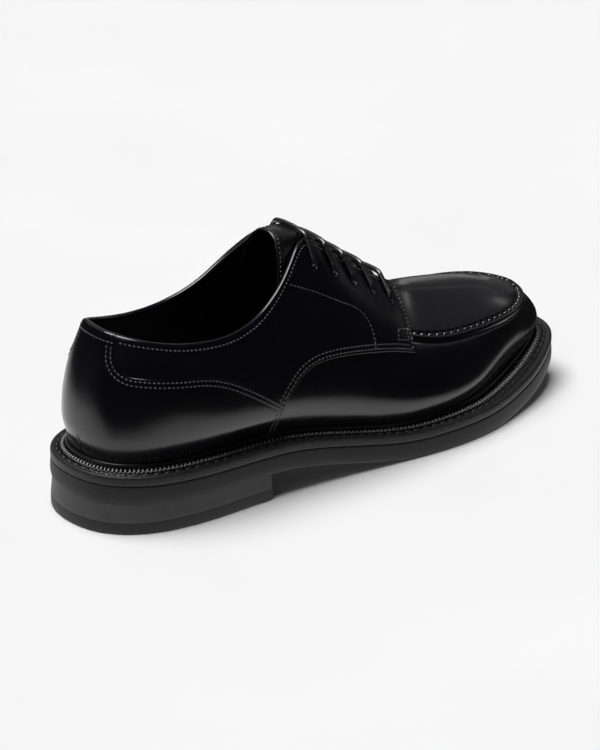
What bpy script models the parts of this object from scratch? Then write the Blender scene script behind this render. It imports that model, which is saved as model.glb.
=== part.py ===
"""Lace-up shoe with an apron toe: a right shoe, empty, standing on its sole.

Blender 4.5, metres, +Z up. The toe points to +Y and the outer (lateral) side to +X.
Shapes are worked out in millimetres, from the back of the heel and the floor, and the
meshes are written in metres about the middle of the sole.
"""
from collections import namedtuple

import bpy
import numpy as np

# Driving dimensions, millimetres
LENGTH = 304.0            # sole, heel to toe
MIDDLE = (-2.8, 152.0)    # middle of the sole in plan, which becomes the origin
OUTSOLE = 9.2             # outsole thickness
WELT = 5.0                # welt thickness at its rim
LIP = 8.0                 # height of the welt's lip against the upper
WELT_WIDTH = 9.7          # rim of the welt to the foot of the upper, along the sides
WALL = 1.8                # upper, leather with its lining
OVERLAY = 1.2             # leather of the quarters and the counter
TONGUE = 2.2              # padded tongue
INSOLE = 4.4
GAP = 0.3                 # between pieces that meet
RIDGE = 1.3               # height of the raised apron seam
RIDGE_HALF = 2.4          # half its width
LIP_TOP = 0.9             # flat top of that lip
LACE_RADIUS = 1.4
EYELET_INSET = 14.0       # eyelet to the edge of the facing

# Heel and underside
BREAST = 91.0             # front face of the heel
HEEL_RISE = 16.0          # underside of the outsole at the back of the heel
BREAST_RISE = 13.2        # the same at the breast
FLAT_FROM = 186.0         # forefoot's flat spot
FLAT_TO = 222.0
TOE_SPRING = 13.5
TOE_POWER = 1.9
LIFT = 6.0                # worn layer under the heel

# Sole outline: half widths of each section
SoleSection = namedtuple("SoleSection", "y lateral medial")
SOLE = [
    SoleSection(0.0, 0.0, 0.0),
    SoleSection(6.0, 22.3, -22.3),
    SoleSection(20.0, 34.5, -34.5),
    SoleSection(45.0, 41.1, -41.1),
    SoleSection(80.0, 41.5, -39.4),
    SoleSection(110.0, 42.0, -35.1),
    SoleSection(140.0, 44.0, -34.4),
    SoleSection(170.0, 47.2, -39.2),
    SoleSection(200.0, 49.2, -48.1),
    SoleSection(228.0, 46.2, -54.2),
    SoleSection(253.0, 38.4, -54.8),
    SoleSection(274.0, 29.2, -50.0),
    SoleSection(290.0, 19.0, -41.2),
    SoleSection(300.0, 9.0, -29.3),
    SoleSection(304.0, -11.4, -11.4),
]

# Sections of the upper. Each stands on the rim at rim_y, on either side.
# Share: the welt's width there, as a share of its width along the sides.
WeltShare = namedtuple("WeltShare", "rim_y lateral medial")
WELT_SHARE = [
    WeltShare(0.0, 1.0, 1.0),
    WeltShare(120.0, 1.0, 1.0),
    WeltShare(200.0, 1.0, 1.0),
    WeltShare(225.0, 1.2, 1.03),
    WeltShare(250.0, 1.46, 1.06),
    WeltShare(272.0, 1.52, 1.08),
    WeltShare(290.0, 1.32, 1.1),
    WeltShare(304.0, 1.12, 1.12),
]

# Bulge: how far the wall stands out over its foot, and how high above the outsole.
Bulge = namedtuple("Bulge", "rim_y lateral medial height")
BULGE = [
    Bulge(0.0, 1.2, 1.2, 24.0),
    Bulge(12.0, 2.0, 2.0, 24.0),
    Bulge(30.0, 3.4, 3.2, 24.0),
    Bulge(66.0, 5.3, 5.0, 22.0),
    Bulge(92.0, 6.5, 6.5, 22.0),
    Bulge(119.0, 7.0, 8.5, 22.0),
    Bulge(145.0, 6.5, 9.0, 21.0),
    Bulge(176.0, 5.5, 7.0, 19.0),
    Bulge(200.0, 4.5, 4.5, 17.0),
    Bulge(228.0, 4.0, 4.2, 16.0),
    Bulge(253.0, 3.5, 3.8, 15.0),
    Bulge(274.0, 3.8, 3.6, 14.5),
    Bulge(290.0, 4.2, 3.4, 14.5),
    Bulge(304.0, 3.4, 3.4, 14.5),
]

# Shoulder: where each section turns in. From the throat forward it is the apron seam.
Shoulder = namedtuple("Shoulder", "rim_y lateral medial y z_lateral z_medial")
SHOULDER = [
    Shoulder(0.0, 0.0, 0.0, 12.2, 72.0, 72.0),
    Shoulder(12.0, 18.2, -18.2, 16.9, 71.6, 71.6),
    Shoulder(30.0, 30.5, -30.5, 30.5, 70.0, 70.0),
    Shoulder(66.0, 36.5, -35.5, 65.0, 66.0, 66.0),
    Shoulder(92.0, 36.8, -35.0, 94.0, 66.5, 66.5),
    Shoulder(119.0, 34.4, -34.0, 123.0, 72.0, 72.0),
    Shoulder(145.0, 32.8, -34.0, 153.0, 70.0, 71.0),
    Shoulder(176.0, 29.5, -31.5, 187.5, 57.0, 60.5),
    Shoulder(200.0, 30.5, -32.5, 205.5, 51.8, 57.5),
    Shoulder(228.0, 28.3, -31.0, 230.0, 49.2, 56.3),
    Shoulder(253.0, 22.0, -29.5, 256.5, 47.8, 54.3),
    Shoulder(274.0, 13.0, -24.0, 274.0, 47.4, 52.6),
    Shoulder(290.0, 4.5, -16.0, 282.5, 47.7, 51.2),
    Shoulder(304.0, -6.0, -6.0, 286.5, 49.3, 49.3),
]

# Top line: collar, then the edge of the facing, then the crown of the apron.
TopLine = namedtuple("TopLine", "rim_y lateral medial y z_lateral z_medial")
TOP_LINE = [
    TopLine(0.0, 0.0, 0.0, 19.6, 95.0, 95.0),
    TopLine(12.0, 12.5, -12.5, 22.4, 94.2, 94.0),
    TopLine(30.0, 21.8, -21.0, 30.5, 92.0, 89.8),
    TopLine(50.0, 28.0, -26.5, 46.0, 88.4, 85.0),
    TopLine(66.0, 30.3, -28.5, 62.0, 86.6, 83.0),
    TopLine(80.0, 29.8, -28.3, 78.0, 86.8, 84.3),
    TopLine(92.0, 27.0, -26.8, 93.0, 90.2, 88.8),
    TopLine(100.0, 24.2, -25.4, 102.5, 94.5, 94.0),
    TopLine(107.0, 21.2, -23.6, 111.5, 100.3, 100.6),
    TopLine(113.0, 17.4, -20.6, 119.5, 106.6, 107.3),
    TopLine(119.0, 13.0, -16.4, 127.0, 112.2, 113.0),
    TopLine(124.0, 10.0, -13.0, 132.5, 114.4, 115.0),
    TopLine(140.0, 9.2, -11.8, 147.0, 107.0, 107.5),
    TopLine(158.0, 8.3, -10.8, 170.0, 91.4, 91.4),
    TopLine(176.0, 7.2, -9.5, 193.5, 75.8, 75.4),
    TopLine(200.0, 8.3, -12.0, 212.5, 68.6, 68.8),
    TopLine(228.0, 8.0, -14.0, 236.0, 64.0, 64.8),
    TopLine(253.0, 5.5, -13.0, 255.0, 60.5, 61.3),
    TopLine(274.0, 1.0, -10.6, 264.0, 58.6, 59.1),
    TopLine(290.0, -2.6, -8.4, 267.6, 57.9, 58.1),
    TopLine(304.0, -5.5, -5.5, 269.0, 57.6, 57.6),
]

# Pattern lines. The counter's upper edge and the quarters' lower edge meet at the joint.
COUNTER_EDGE = 12.0       # rim_y of the counter's upright edge
JOINT = 99.5              # rim_y where counter and quarter meet low on the side
FACING_TOP = 124.0        # rim_y of the facing's upper corner
FACING_FOOT = 176.0       # rim_y of the quarter's front edge
EYELETS_FROM = 135.0      # y on the facing's edge of the first and the last eyelet
EYELETS_TO = 182.5
EYELETS = 5
PatternEdge = namedtuple("PatternEdge", "rim_y z")
COUNTER_LINE = [
    PatternEdge(12.0, 81.0),
    PatternEdge(17.0, 78.2),
    PatternEdge(25.0, 75.8),
    PatternEdge(48.0, 73.2),
    PatternEdge(66.0, 69.0),
    PatternEdge(80.0, 60.8),
    PatternEdge(99.5, 47.3),
]
QUARTER_LINE = [
    PatternEdge(99.5, 47.3),
    PatternEdge(106.0, 55.6),
    PatternEdge(114.0, 60.8),
    PatternEdge(128.0, 62.3),
    PatternEdge(150.0, 58.5),
    PatternEdge(176.0, 50.3),
]
VAMP_LINE = 0.6           # share of the wall below the seam, forward of the quarters
VAMP_BLEND = 32.0         # length over which the row passes from one to the other
EDGE_GAP = 0.45           # between the counter's edge and the quarters'

# Cross section of the welt: inset from the rim and height above the outsole
WeltPoint = namedtuple("WeltPoint", "inset height")
WELT_PROFILE = [
    WeltPoint(0.6, 0.3),
    WeltPoint(0.0, 0.9),
    WeltPoint(0.0, WELT - 0.8),
    WeltPoint(0.8, WELT),
    WeltPoint(3.6, WELT),
    WeltPoint(4.2, WELT - 0.5),
    WeltPoint(4.9, WELT + 1.0),
    WeltPoint(6.3, WELT + 1.5),
    WeltPoint(7.4, WELT + 0.9),
    WeltPoint(8.0, LIP - 0.6),
]
# Sides of the sole's layers, from the top down: inset from the rim and share of the thickness
SidePoint = namedtuple("SidePoint", "inset share")
SOLE_PROFILE = [SidePoint(0.9, 1.0), SidePoint(0.4, 0.88), SidePoint(0.5, 0.2), SidePoint(1.6, 0.0)]
HEEL_PROFILE = [SidePoint(0.5, 1.0), SidePoint(0.8, 0.0)]
LIFT_PROFILE = [SidePoint(0.8, 1.0), SidePoint(0.9, 0.15), SidePoint(1.8, 0.0)]
INSOLE_PROFILE = [SidePoint(0.8, 1.0), SidePoint(0.0, 0.8), SidePoint(0.0, 0.0)]

# Tongue
TONGUE_UNDER = 2          # columns that the tongue runs under the apron
TONGUE_SIDE = 22.0        # how far it reaches down beside the throat
TONGUE_CROWN = 0.45       # how full it stands between the facings
TONGUE_RISE = 3           # columns over which it rises to that
TonguePoint = namedtuple("TonguePoint", "x y z")
TONGUE_EDGE = [           # its arched upper edge
    TonguePoint(17.0, 113.7, 91.0),
    TonguePoint(15.5, 115.0, 98.3),
    TonguePoint(13.8, 116.3, 105.6),
    TonguePoint(12.0, 117.5, 112.4),
    TonguePoint(8.4, 118.6, 118.3),
    TonguePoint(3.4, 118.9, 121.0),
    TonguePoint(-2.0, 118.8, 120.8),
    TonguePoint(-9.2, 118.8, 116.8),
    TonguePoint(-14.2, 119.0, 111.5),
    TonguePoint(-18.2, 119.3, 106.2),
    TonguePoint(-20.8, 119.6, 100.5),
    TonguePoint(-22.4, 120.0, 92.0),
]

# Mesh density
STATIONS = 44             # along the sole
SPANS = (3, 8, 4, 7, 14)  # upper's columns between its pattern lines, on each side
ROWS_LOW = 5              # rows from the welt's lip to the pattern edge
ROWS_HIGH = 4             # rows from the seam to the top line
STRIP = 4                 # columns across the crown of the apron
TONGUE_STEPS = 3          # rows of the tongue above the facing
SECTION = 4               # steps down each facing in a section of the tongue or a lace
CROWN = 0.25              # how full the bridge from one top line to the other is
LACE_CROWN = 0.1          # the same for the laces, which are drawn tight
SHARP = 38.0              # degrees; edges past it are shaded sharp
METRE = 0.001


def curve_through(knots, points, closed=False, start=None):
    """Cubic curve through points, smooth to its curvature. start fixes its first direction."""
    t = np.asarray(knots, float)
    p = np.asarray(points, float)
    n = len(t)
    h = np.diff(t)
    slope = np.diff(p, axis=0) / h[:, None]
    matrix = np.zeros((n, n))
    right = np.zeros_like(p)
    for i in range(1, n - 1):
        matrix[i, i - 1:i + 2] = h[i - 1], 2 * (h[i - 1] + h[i]), h[i]
        right[i] = 6 * (slope[i] - slope[i - 1])
    matrix[0, 0] = matrix[-1, -1] = 1
    if closed:
        matrix[0, [0, 1, n - 2]] = 2 * (h[-1] + h[0]), h[0], h[-1]
        right[0] = 6 * (slope[0] - slope[-1])
        matrix[-1, 0] = -1
    elif start is not None:
        matrix[0, :2] = 2 * h[0], h[0]
        right[0] = 6 * (slope[0] - np.asarray(start, float))
    bend = np.linalg.solve(matrix, right)

    def at(x):
        x = np.asarray(x, float)
        i = np.clip(np.searchsorted(t, x, side="right") - 1, 0, n - 2)
        a = (x - t[i])[..., None]
        b = (t[i + 1] - x)[..., None]
        k = h[i][..., None]
        cubic = (bend[i] * b ** 3 + bend[i + 1] * a ** 3) / (6 * k)
        return cubic + (p[i] / k - bend[i] * k / 6) * b + (p[i + 1] / k - bend[i + 1] * k / 6) * a

    return at


def chord_lengths(points):
    steps = np.linalg.norm(np.diff(np.asarray(points, float), axis=0), axis=1)
    return np.concatenate([[0.0], np.cumsum(steps)])


def unit(v):
    return v / np.linalg.norm(v, axis=-1, keepdims=True)


# The rim of the sole, as a closed curve from the back of the heel by the lateral side
RIM_POINTS = [(s.lateral, s.y) for s in SOLE]
RIM_POINTS += [(s.medial, s.y) for s in SOLE[-2:0:-1]] + [RIM_POINTS[0]]
RIM_KNOTS = chord_lengths(RIM_POINTS)
RIM_TOTAL = RIM_KNOTS[-1]
RIM_TOE = RIM_KNOTS[len(SOLE) - 1]
RIM = curve_through(RIM_KNOTS, RIM_POINTS, closed=True)


def rim(u, inset=0.0):
    """Point of the sole's outline at u, moved inwards by inset, and its outward direction."""
    u = np.asarray(u, float) % RIM_TOTAL
    along = unit(RIM((u + GAP) % RIM_TOTAL) - RIM((u - GAP) % RIM_TOTAL))
    out = np.stack([along[..., 1], -along[..., 0]], axis=-1)
    return RIM(u) - np.asarray(inset, float)[..., None] * out, out


def rim_place(y, side):
    """Where the rim passes y, on the lateral (1) or the medial (-1) side."""
    ends = (0.0, RIM_TOE) if side > 0 else (RIM_TOTAL, RIM_TOE)
    u = np.linspace(*ends, 1500)
    heights = np.maximum.accumulate(RIM(u % RIM_TOTAL)[:, 1])
    return np.interp(y, heights, u)


def underside(y):
    """Height of the outsole's underside: heel seat, arch, flat forefoot, toe spring."""
    y = np.asarray(y, float)
    t = np.clip((FLAT_FROM - y) / (FLAT_FROM - BREAST), 0, 1)
    arch = BREAST_RISE * t * t * (3 - 2 * t)
    seat = BREAST_RISE + (HEEL_RISE - BREAST_RISE) * (BREAST - y) / BREAST
    spring = TOE_SPRING * np.clip((y - FLAT_TO) / (LENGTH - FLAT_TO), 0, 1) ** TOE_POWER
    return np.where(y < BREAST, seat, arch) + spring


def deck(y):
    """Height of the outsole's upper face."""
    return underside(y) + OUTSOLE


def around(table, value):
    """Closed curve over u through one value of each row, lateral side first."""
    rows = [(rim_place(r.rim_y, 1), value(r, 1)) for r in table]
    rows[0] = (0.0, rows[0][1])
    rows[-1] = (RIM_TOE, rows[-1][1])
    rows += [(rim_place(r.rim_y, -1), value(r, -1)) for r in table[-2:0:-1]]
    rows.append((RIM_TOTAL, rows[0][1]))
    return curve_through([u for u, _ in rows], [v for _, v in rows], closed=True)


def on_side(row, side):
    if side > 0:
        return (row.lateral, row.y, row.z_lateral)
    return (row.medial, row.y, row.z_medial)


SHARE_AT = around(WELT_SHARE, lambda r, side: (r.lateral if side > 0 else r.medial,))
BULGE_AT = around(BULGE, lambda r, side: (r.lateral if side > 0 else r.medial, r.height))
SHOULDER_AT = around(SHOULDER, on_side)
TOP_AT = around(TOP_LINE, on_side)


def wall_column(u):
    """One section of the upper's outer face, from its foot to the top line.

    Gives the curve over the distance from the foot, and the distances of the shoulder and the top.
    """
    u = u % RIM_TOTAL
    foot, out = rim(u, WELT_WIDTH * SHARE_AT(u)[0])
    base = deck(foot[1]) + GAP
    stand_out, height = BULGE_AT(u)
    belly = foot + out * stand_out
    points = np.array([
        (*foot, base),
        (*belly, deck(foot[1]) + height),
        SHOULDER_AT(u),
        TOP_AT(u),
    ])
    knots = chord_lengths(points)
    return curve_through(knots, points, start=(0, 0, 1)), knots[2], knots[3]


def distance_at_height(curve, z, top):
    d = np.linspace(0, top, 400)
    return np.interp(z, np.maximum.accumulate(curve(d)[:, 2]), d)


def pattern_edge(u, curve, shoulder, top):
    """Distance of the pattern edge from the foot of the section at u."""
    u = u % RIM_TOTAL
    side = 1 if u <= RIM_TOE else -1
    y = RIM(u)[1]
    if y >= FACING_FOOT:
        low = distance_at_height(curve, QUARTER_LINE[-1].z, top)
        ahead = np.clip((y - FACING_FOOT) / VAMP_BLEND, 0, 1)
        return low + ahead * (VAMP_LINE * shoulder - low)
    table = COUNTER_LINE if y <= JOINT else QUARTER_LINE
    places = [side * rim_place(r.rim_y, side) for r in table]
    z = np.interp(side * u, places, [r.z for r in table])
    return distance_at_height(curve, z, top)


def row_distances(u, edge_gap=0.0):
    """Curve of the section at u and the distances of its rows, foot to top line."""
    curve, shoulder, top = wall_column(u)
    edge = pattern_edge(u, curve, shoulder, top)
    seam = min(max(shoulder, edge + 2 * RIDGE_HALF), top - 2 * RIDGE_HALF)
    lip = distance_at_height(curve, curve(0.0)[2] + LIP + GAP, top)
    low = np.linspace(lip, edge, ROWS_LOW)
    low[-1] += edge_gap
    high = np.linspace(seam + RIDGE_HALF, top, ROWS_HIGH + 1)
    return curve, np.concatenate([[0.0], low, [seam - RIDGE_HALF, seam], high])


LIP_ROW = 1
EDGE_ROW = ROWS_LOW
SEAM_ROW = ROWS_LOW + 2
TOP_ROW = SEAM_ROW + 1 + ROWS_HIGH


def lattice(places, edge_gap=0.0):
    """Points of the upper's outer face: a column for each place on the rim."""
    columns = []
    for u in places:
        curve, rows = row_distances(u, edge_gap)
        columns.append(curve(rows))
    return np.array(columns)


def lattice_normals(points, closed):
    """Outward directions of a lattice of points."""
    if closed:
        padded = np.concatenate([points[-1:], points, points[:1]])
        along = (padded[2:] - padded[:-2]) / 2
    else:
        along = np.gradient(points, axis=0)
    return unit(np.cross(along, np.gradient(points, axis=1)))


def side_places(side):
    """Columns of one side, from the back of the heel to the toe."""
    marks = [rim_place(y, side) for y in (COUNTER_EDGE, JOINT, FACING_TOP, FACING_FOOT)]
    marks = [0.0 if side > 0 else RIM_TOTAL] + marks + [RIM_TOE]
    places = [marks[0]]
    for start, end, count in zip(marks, marks[1:], SPANS):
        places += list(np.linspace(start, end, count + 1)[1:])
    return np.array(places)


LATERAL = side_places(1)
MEDIAL = side_places(-1)
HALF = len(LATERAL) - 1
COUNTER_COLUMN, JOINT_COLUMN, FACING_COLUMN, THROAT_COLUMN = np.cumsum(SPANS)[:4]
ALL_PLACES = np.concatenate([LATERAL, MEDIAL[-2:0:-1]])


# Making objects

def mesh_object(name, points, faces, material):
    mesh = bpy.data.meshes.new(name)
    shifted = np.asarray(points, float) - (*MIDDLE, 0.0)
    mesh.from_pydata([tuple(p) for p in shifted * METRE], [], faces)
    mesh.shade_smooth()
    mesh.set_sharp_from_angle(angle=np.radians(SHARP))
    mesh.materials.append(material)
    piece = bpy.data.objects.new(name, mesh)
    PARTS.objects.link(piece)
    piece.parent = SHOE
    return piece


def leather_shell(piece, thickness, side):
    """Gives an open face its thickness, inwards (-1) or outwards (1)."""
    shell = piece.modifiers.new("thickness", "SOLIDIFY")
    shell.thickness = thickness * METRE
    shell.offset = side
    shell.use_even_offset = True
    shell.use_quality_normals = True


def grid_faces(columns, rows, closed=False, keep=None):
    """Faces of a lattice, whose points are numbered column by column.

    Each cell is split along the same diagonal, so that laid-on pieces stay parallel to the wall.
    """
    faces = []
    for c in range(columns if closed else columns - 1):
        for r in range(rows - 1):
            if keep is None or keep(c, r):
                near = c * rows + r
                far = (c + 1) % columns * rows + r
                faces.append((near, far, far + 1))
                faces.append((near, far + 1, near + 1))
    return faces


def used_only(points, faces):
    """Drops the points that no face uses."""
    used = sorted({i for face in faces for i in face})
    number = {old: new for new, old in enumerate(used)}
    return points[used], [tuple(number[i] for i in face) for face in faces]


def plain_material(name, colour, roughness):
    material = bpy.data.materials.new(name)
    material.use_nodes = True
    shader = material.node_tree.nodes["Principled BSDF"]
    shader.inputs["Base Color"].default_value = (*colour, 1.0)
    shader.inputs["Roughness"].default_value = roughness
    shader.inputs["Metallic"].default_value = 0.0
    return material


# Sole

def outline_rows(inset, y_to=LENGTH, stations=STATIONS):
    """Lateral and medial points of the outline at like stations. inset is a function over u."""
    u = np.linspace(0, RIM_TOTAL, 2400)
    points, _ = rim(u, inset(u))
    toe = int(np.argmax(points[:, 1]))
    heel = int(np.argmin(points[:toe // 2, 1]))
    lateral = points[heel:toe + 1]
    medial = np.concatenate([points[toe:], points[:heel + 1]])[::-1]
    first = lateral[0, 1]
    last = min(y_to, lateral[-1, 1])
    turn = np.linspace(0, np.pi, stations)
    if y_to < LENGTH:
        turn = np.linspace(0, np.pi / 2, stations)
    share = (1 - np.cos(turn)) / (1 - np.cos(turn[-1]))
    y = first + (last - first) * share
    sides = []
    for edge in (lateral, medial):
        rising = np.maximum.accumulate(edge[:, 1])
        sides.append(np.interp(y, rising, edge[:, 0]))
    return y, sides[0], sides[1]


def slab(name, profile, bottom, top, material, y_to=LENGTH, stations=STATIONS, within=np.zeros_like):
    """Solid between two heights over the sole's outline.

    profile gives the inset at each share of the height, from the top down. bottom and top are
    heights over y, within a further inset over u. A front short of the toe is a flat face.
    """
    loops = []
    for inset, share in profile:
        y, lateral, medial = outline_rows(lambda u: within(u) + inset, y_to, stations)
        z = bottom(y) + (top(y) - bottom(y)) * share
        end = stations if y_to < LENGTH else stations - 1
        right = np.stack([lateral, y, z], axis=1)[:end]
        left = np.stack([medial, y, z], axis=1)[1:][::-1]
        loops.append(np.concatenate([right, left]))
    count = len(loops[0])
    points = np.concatenate(loops)
    faces = []
    for k in range(len(loops) - 1):
        for i in range(count):
            j = (i + 1) % count
            faces.append((k * count + i, (k + 1) * count + i, (k + 1) * count + j, k * count + j))
    last = (len(loops) - 1) * count
    for i in range(count // 2):
        a, b = i, i + 1
        d, c = (count - i) % count, count - i - 1
        ring = list(dict.fromkeys([a, b, c, d]))
        faces.append(tuple(ring))
        faces.append(tuple(last + v for v in reversed(ring)))
    return mesh_object(name, points, faces, material)


def make_sole():
    rubber = plain_material("sole_rubber", (0.012, 0.012, 0.013), 0.55)
    stacked = plain_material("heel_stack", (0.012, 0.012, 0.012), 0.5)
    rand = plain_material("welt_leather", (0.008, 0.008, 0.009), 0.4)
    board = plain_material("insole_leather", (0.02, 0.018, 0.017), 0.6)
    slab("outsole", SOLE_PROFILE, underside, deck, rubber)

    def floor(y):
        return np.zeros_like(y)

    def lift_top(y):
        return np.full_like(y, LIFT)

    slab("heel_block", HEEL_PROFILE, lambda y: lift_top(y) + GAP, lambda y: underside(y) - GAP,
         stacked, BREAST, STATIONS // 2)
    slab("heel_lift", LIFT_PROFILE, floor, lift_top, rubber, BREAST, STATIONS // 2)

    def inner_wall(u):
        return WELT_WIDTH * SHARE_AT(u % RIM_TOTAL)[..., 0] + WALL + 2 * GAP

    slab("insole", INSOLE_PROFILE, lambda y: deck(y) + GAP, lambda y: deck(y) + GAP + INSOLE, board,
         within=inner_wall)
    make_welt(rand)


def make_welt(material):
    """Strip round the shoe: rim, groove, bead and a lip that follows the upper's wall."""
    rows = len(WELT_PROFILE) + 3
    points = []
    for u in ALL_PLACES:
        for inset, height in WELT_PROFILE:
            place, out = rim(u, inset * SHARE_AT(u)[0])
            points.append((*place, deck(place[1]) + height))
        curve, _, top = wall_column(u)
        base = deck(curve(0.0)[1])
        for height, off in ((LIP, GAP + LIP_TOP), (LIP, GAP), (GAP, GAP)):
            wall = curve(distance_at_height(curve, base + height, top))
            points.append(wall + (*(out * off), 0.0))
    count = len(ALL_PLACES)
    faces = []
    for c in range(count):
        d = (c + 1) % count
        for r in range(rows):
            s = (r + 1) % rows
            faces.append((c * rows + r, d * rows + r, d * rows + s, c * rows + s))
    mesh_object("welt", points, faces, material)


# Upper

def bridge(start, start_way, end, end_way, count, crown=CROWN):
    """Curve across the throat or the crown from one top line to the other."""
    reach = np.linalg.norm(end - start) * crown
    t = np.linspace(0, 1, count + 1)[:, None]
    a = start + start_way * reach
    b = end + end_way * reach
    return (1 - t) ** 3 * start + 3 * t * (1 - t) ** 2 * a + 3 * t * t * (1 - t) * b + t ** 3 * end


def top_way(points):
    """Direction in which a section runs at its top."""
    return unit(points[-1] - points[-2])


def make_upper(material):
    """One hollow wall: vamp, apron, quarters' backing and heel, with the raised apron seam."""
    wall = lattice(ALL_PLACES)
    normals = lattice_normals(wall, closed=True)
    columns, rows, _ = wall.shape
    for c in range(THROAT_COLUMN + 1, columns - THROAT_COLUMN):
        wall[c, SEAM_ROW] += normals[c, SEAM_ROW] * RIDGE
    points = wall.reshape(-1, 3)
    faces = grid_faces(columns, rows, closed=True)

    def number(c):
        return (c % columns) * rows + TOP_ROW

    strip = []
    crossings = []
    for c in range(THROAT_COLUMN, HALF):
        other = columns - c
        line = bridge(wall[c, -1], top_way(wall[c]), wall[other, -1], top_way(wall[other]), STRIP)
        first = len(points) + len(strip)
        strip += list(line[1:-1])
        crossings.append([number(c)] + list(range(first, first + STRIP - 1)) + [number(other)])
    for near, far in zip(crossings, crossings[1:]):
        for k in range(STRIP):
            faces.append((near[k], far[k], far[k + 1], near[k + 1]))
    for k in range(STRIP):
        faces.append((crossings[-1][k], number(HALF), crossings[-1][k + 1]))
    upper = mesh_object("upper", np.concatenate([points, strip]), faces, material)
    leather_shell(upper, WALL, -1)


def overlay(name, places, keep, edge_gap, material):
    """Leather laid on the upper's wall over the cells that keep names."""
    points = lattice(places, edge_gap)
    lifted = points + lattice_normals(points, closed=False) * GAP
    columns, rows, _ = points.shape
    faces = grid_faces(columns, rows, keep=keep)
    piece = mesh_object(name, *used_only(lifted.reshape(-1, 3), faces), material)
    leather_shell(piece, OVERLAY, 1)


def make_overlays(material):
    def quarter_cell(column, row):
        return row >= EDGE_ROW

    front = slice(COUNTER_COLUMN, THROAT_COLUMN + 1)
    for name, side, places in (("quarter_lateral", 1, LATERAL), ("quarter_medial", -1, MEDIAL)):
        run = places[front].copy()
        run[0] += side * EDGE_GAP
        overlay(name, run[::side], quarter_cell, EDGE_GAP, material)

    def counter_cell(column, row):
        behind = abs(column + 0.5 - JOINT_COLUMN) < COUNTER_COLUMN
        return row >= LIP_ROW and (row < EDGE_ROW or behind)

    heel = np.concatenate([MEDIAL[JOINT_COLUMN:0:-1] - RIM_TOTAL, LATERAL[:JOINT_COLUMN + 1]])
    overlay("counter", heel, counter_cell, 0.0, material)


def throat_section(lateral, medial, down, crown=CROWN):
    """Points over the instep: down one facing, across the throat, and down the other."""
    sides = []
    for u in (lateral, medial):
        curve, _, top = wall_column(u)
        sides.append(curve(np.linspace(top - down, top, SECTION + 1)))
    near, far = sides
    across = bridge(near[-1], top_way(near), far[-1], top_way(far), 2 * SECTION, crown)
    return np.concatenate([near[:-1], across, far[-2::-1]])


def make_tongue(material):
    """Flap under the facings, from below the apron to its arched upper edge."""
    sections = []
    for c in range(THROAT_COLUMN + TONGUE_UNDER, FACING_COLUMN - 1, -1):
        rise = np.clip((THROAT_COLUMN - c) / TONGUE_RISE, 0, 1)
        crown = CROWN + (TONGUE_CROWN - CROWN) * rise
        sections.append(throat_section(LATERAL[c], MEDIAL[c], TONGUE_SIDE, crown))
    points = np.array(sections[::-1])
    points = points - lattice_normals(points, closed=False) * (WALL + 2 * GAP)
    corner = points[0]
    run = chord_lengths(corner)
    knots = chord_lengths(TONGUE_EDGE)
    edge = curve_through(knots / knots[-1], TONGUE_EDGE)(run / run[-1])
    reach = [corner + (edge - corner) * k / TONGUE_STEPS for k in range(TONGUE_STEPS, 0, -1)]
    points = np.concatenate([reach, points])
    columns, rows, _ = points.shape
    piece = mesh_object("tongue", points.reshape(-1, 3), grid_faces(columns, rows), material)
    leather_shell(piece, TONGUE, -1)


def facing_place(y, side):
    """Place on the rim of the section whose facing edge is at y."""
    places = np.linspace(rim_place(FACING_TOP, side), rim_place(FACING_FOOT, side), 200)
    return np.interp(y, TOP_AT(places)[:, 1], places)


def eyelet_stations():
    """Facing positions of the eyelets, equally spaced along their own row."""
    fine = np.linspace(EYELETS_FROM, EYELETS_TO, 60)
    row = []
    for y in fine:
        curve, _, top = wall_column(facing_place(y, 1))
        row.append(curve(top - EYELET_INSET))
    run = chord_lengths(row)
    return np.interp(np.linspace(0, run[-1], EYELETS), run, fine)


def make_laces(material):
    """Five straight bars from eyelet to eyelet, clear of the facings and the tongue."""
    clear = OVERLAY + 2 * GAP + LACE_RADIUS + GAP
    for k, y in enumerate(eyelet_stations()):
        nearby = []
        for beside in (y - LACE_RADIUS, y, y + LACE_RADIUS):
            nearby.append(throat_section(
                facing_place(beside, 1), facing_place(beside, -1), EYELET_INSET, LACE_CROWN))
        normals = lattice_normals(np.array(nearby), closed=False)[1]
        path = (nearby[1] + normals * clear - (*MIDDLE, 0.0)) * METRE
        name = f"lace_bar_{k + 1}"
        curve = bpy.data.curves.new(name, "CURVE")
        curve.dimensions = "3D"
        curve.bevel_depth = LACE_RADIUS * METRE
        curve.bevel_resolution = 2
        curve.use_fill_caps = True
        spline = curve.splines.new("POLY")
        spline.points.add(len(path) - 1)
        for point, place in zip(spline.points, path):
            point.co = (*place, 1.0)
        curve.materials.append(material)
        piece = bpy.data.objects.new(name, curve)
        PARTS.objects.link(piece)
        piece.parent = SHOE


for old in list(bpy.data.objects):
    bpy.data.objects.remove(old, do_unlink=True)
PARTS = bpy.data.collections.new("lace_up_shoe")
bpy.context.scene.collection.children.link(PARTS)
SHOE = bpy.data.objects.new("shoe", None)
PARTS.objects.link(SHOE)

polished = plain_material("polished_leather", (0.006, 0.006, 0.008), 0.2)
make_sole()
make_upper(polished)
make_overlays(plain_material("overlay_leather", (0.006, 0.006, 0.008), 0.2))
make_tongue(plain_material("tongue_leather", (0.008, 0.008, 0.009), 0.35))
make_laces(plain_material("waxed_lace", (0.006, 0.006, 0.006), 0.45))
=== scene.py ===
"""Lace-up shoe with an apron toe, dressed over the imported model.

Shapes are worked out in millimetres, from the back of the heel and the floor, with the same
functions as the solids, and the meshes are written in metres about the middle of the sole.
"""
from collections import namedtuple

import bpy
import numpy as np
from mathutils import Matrix, Vector
from mathutils.bvhtree import BVHTree
from mathutils.kdtree import KDTree


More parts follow.
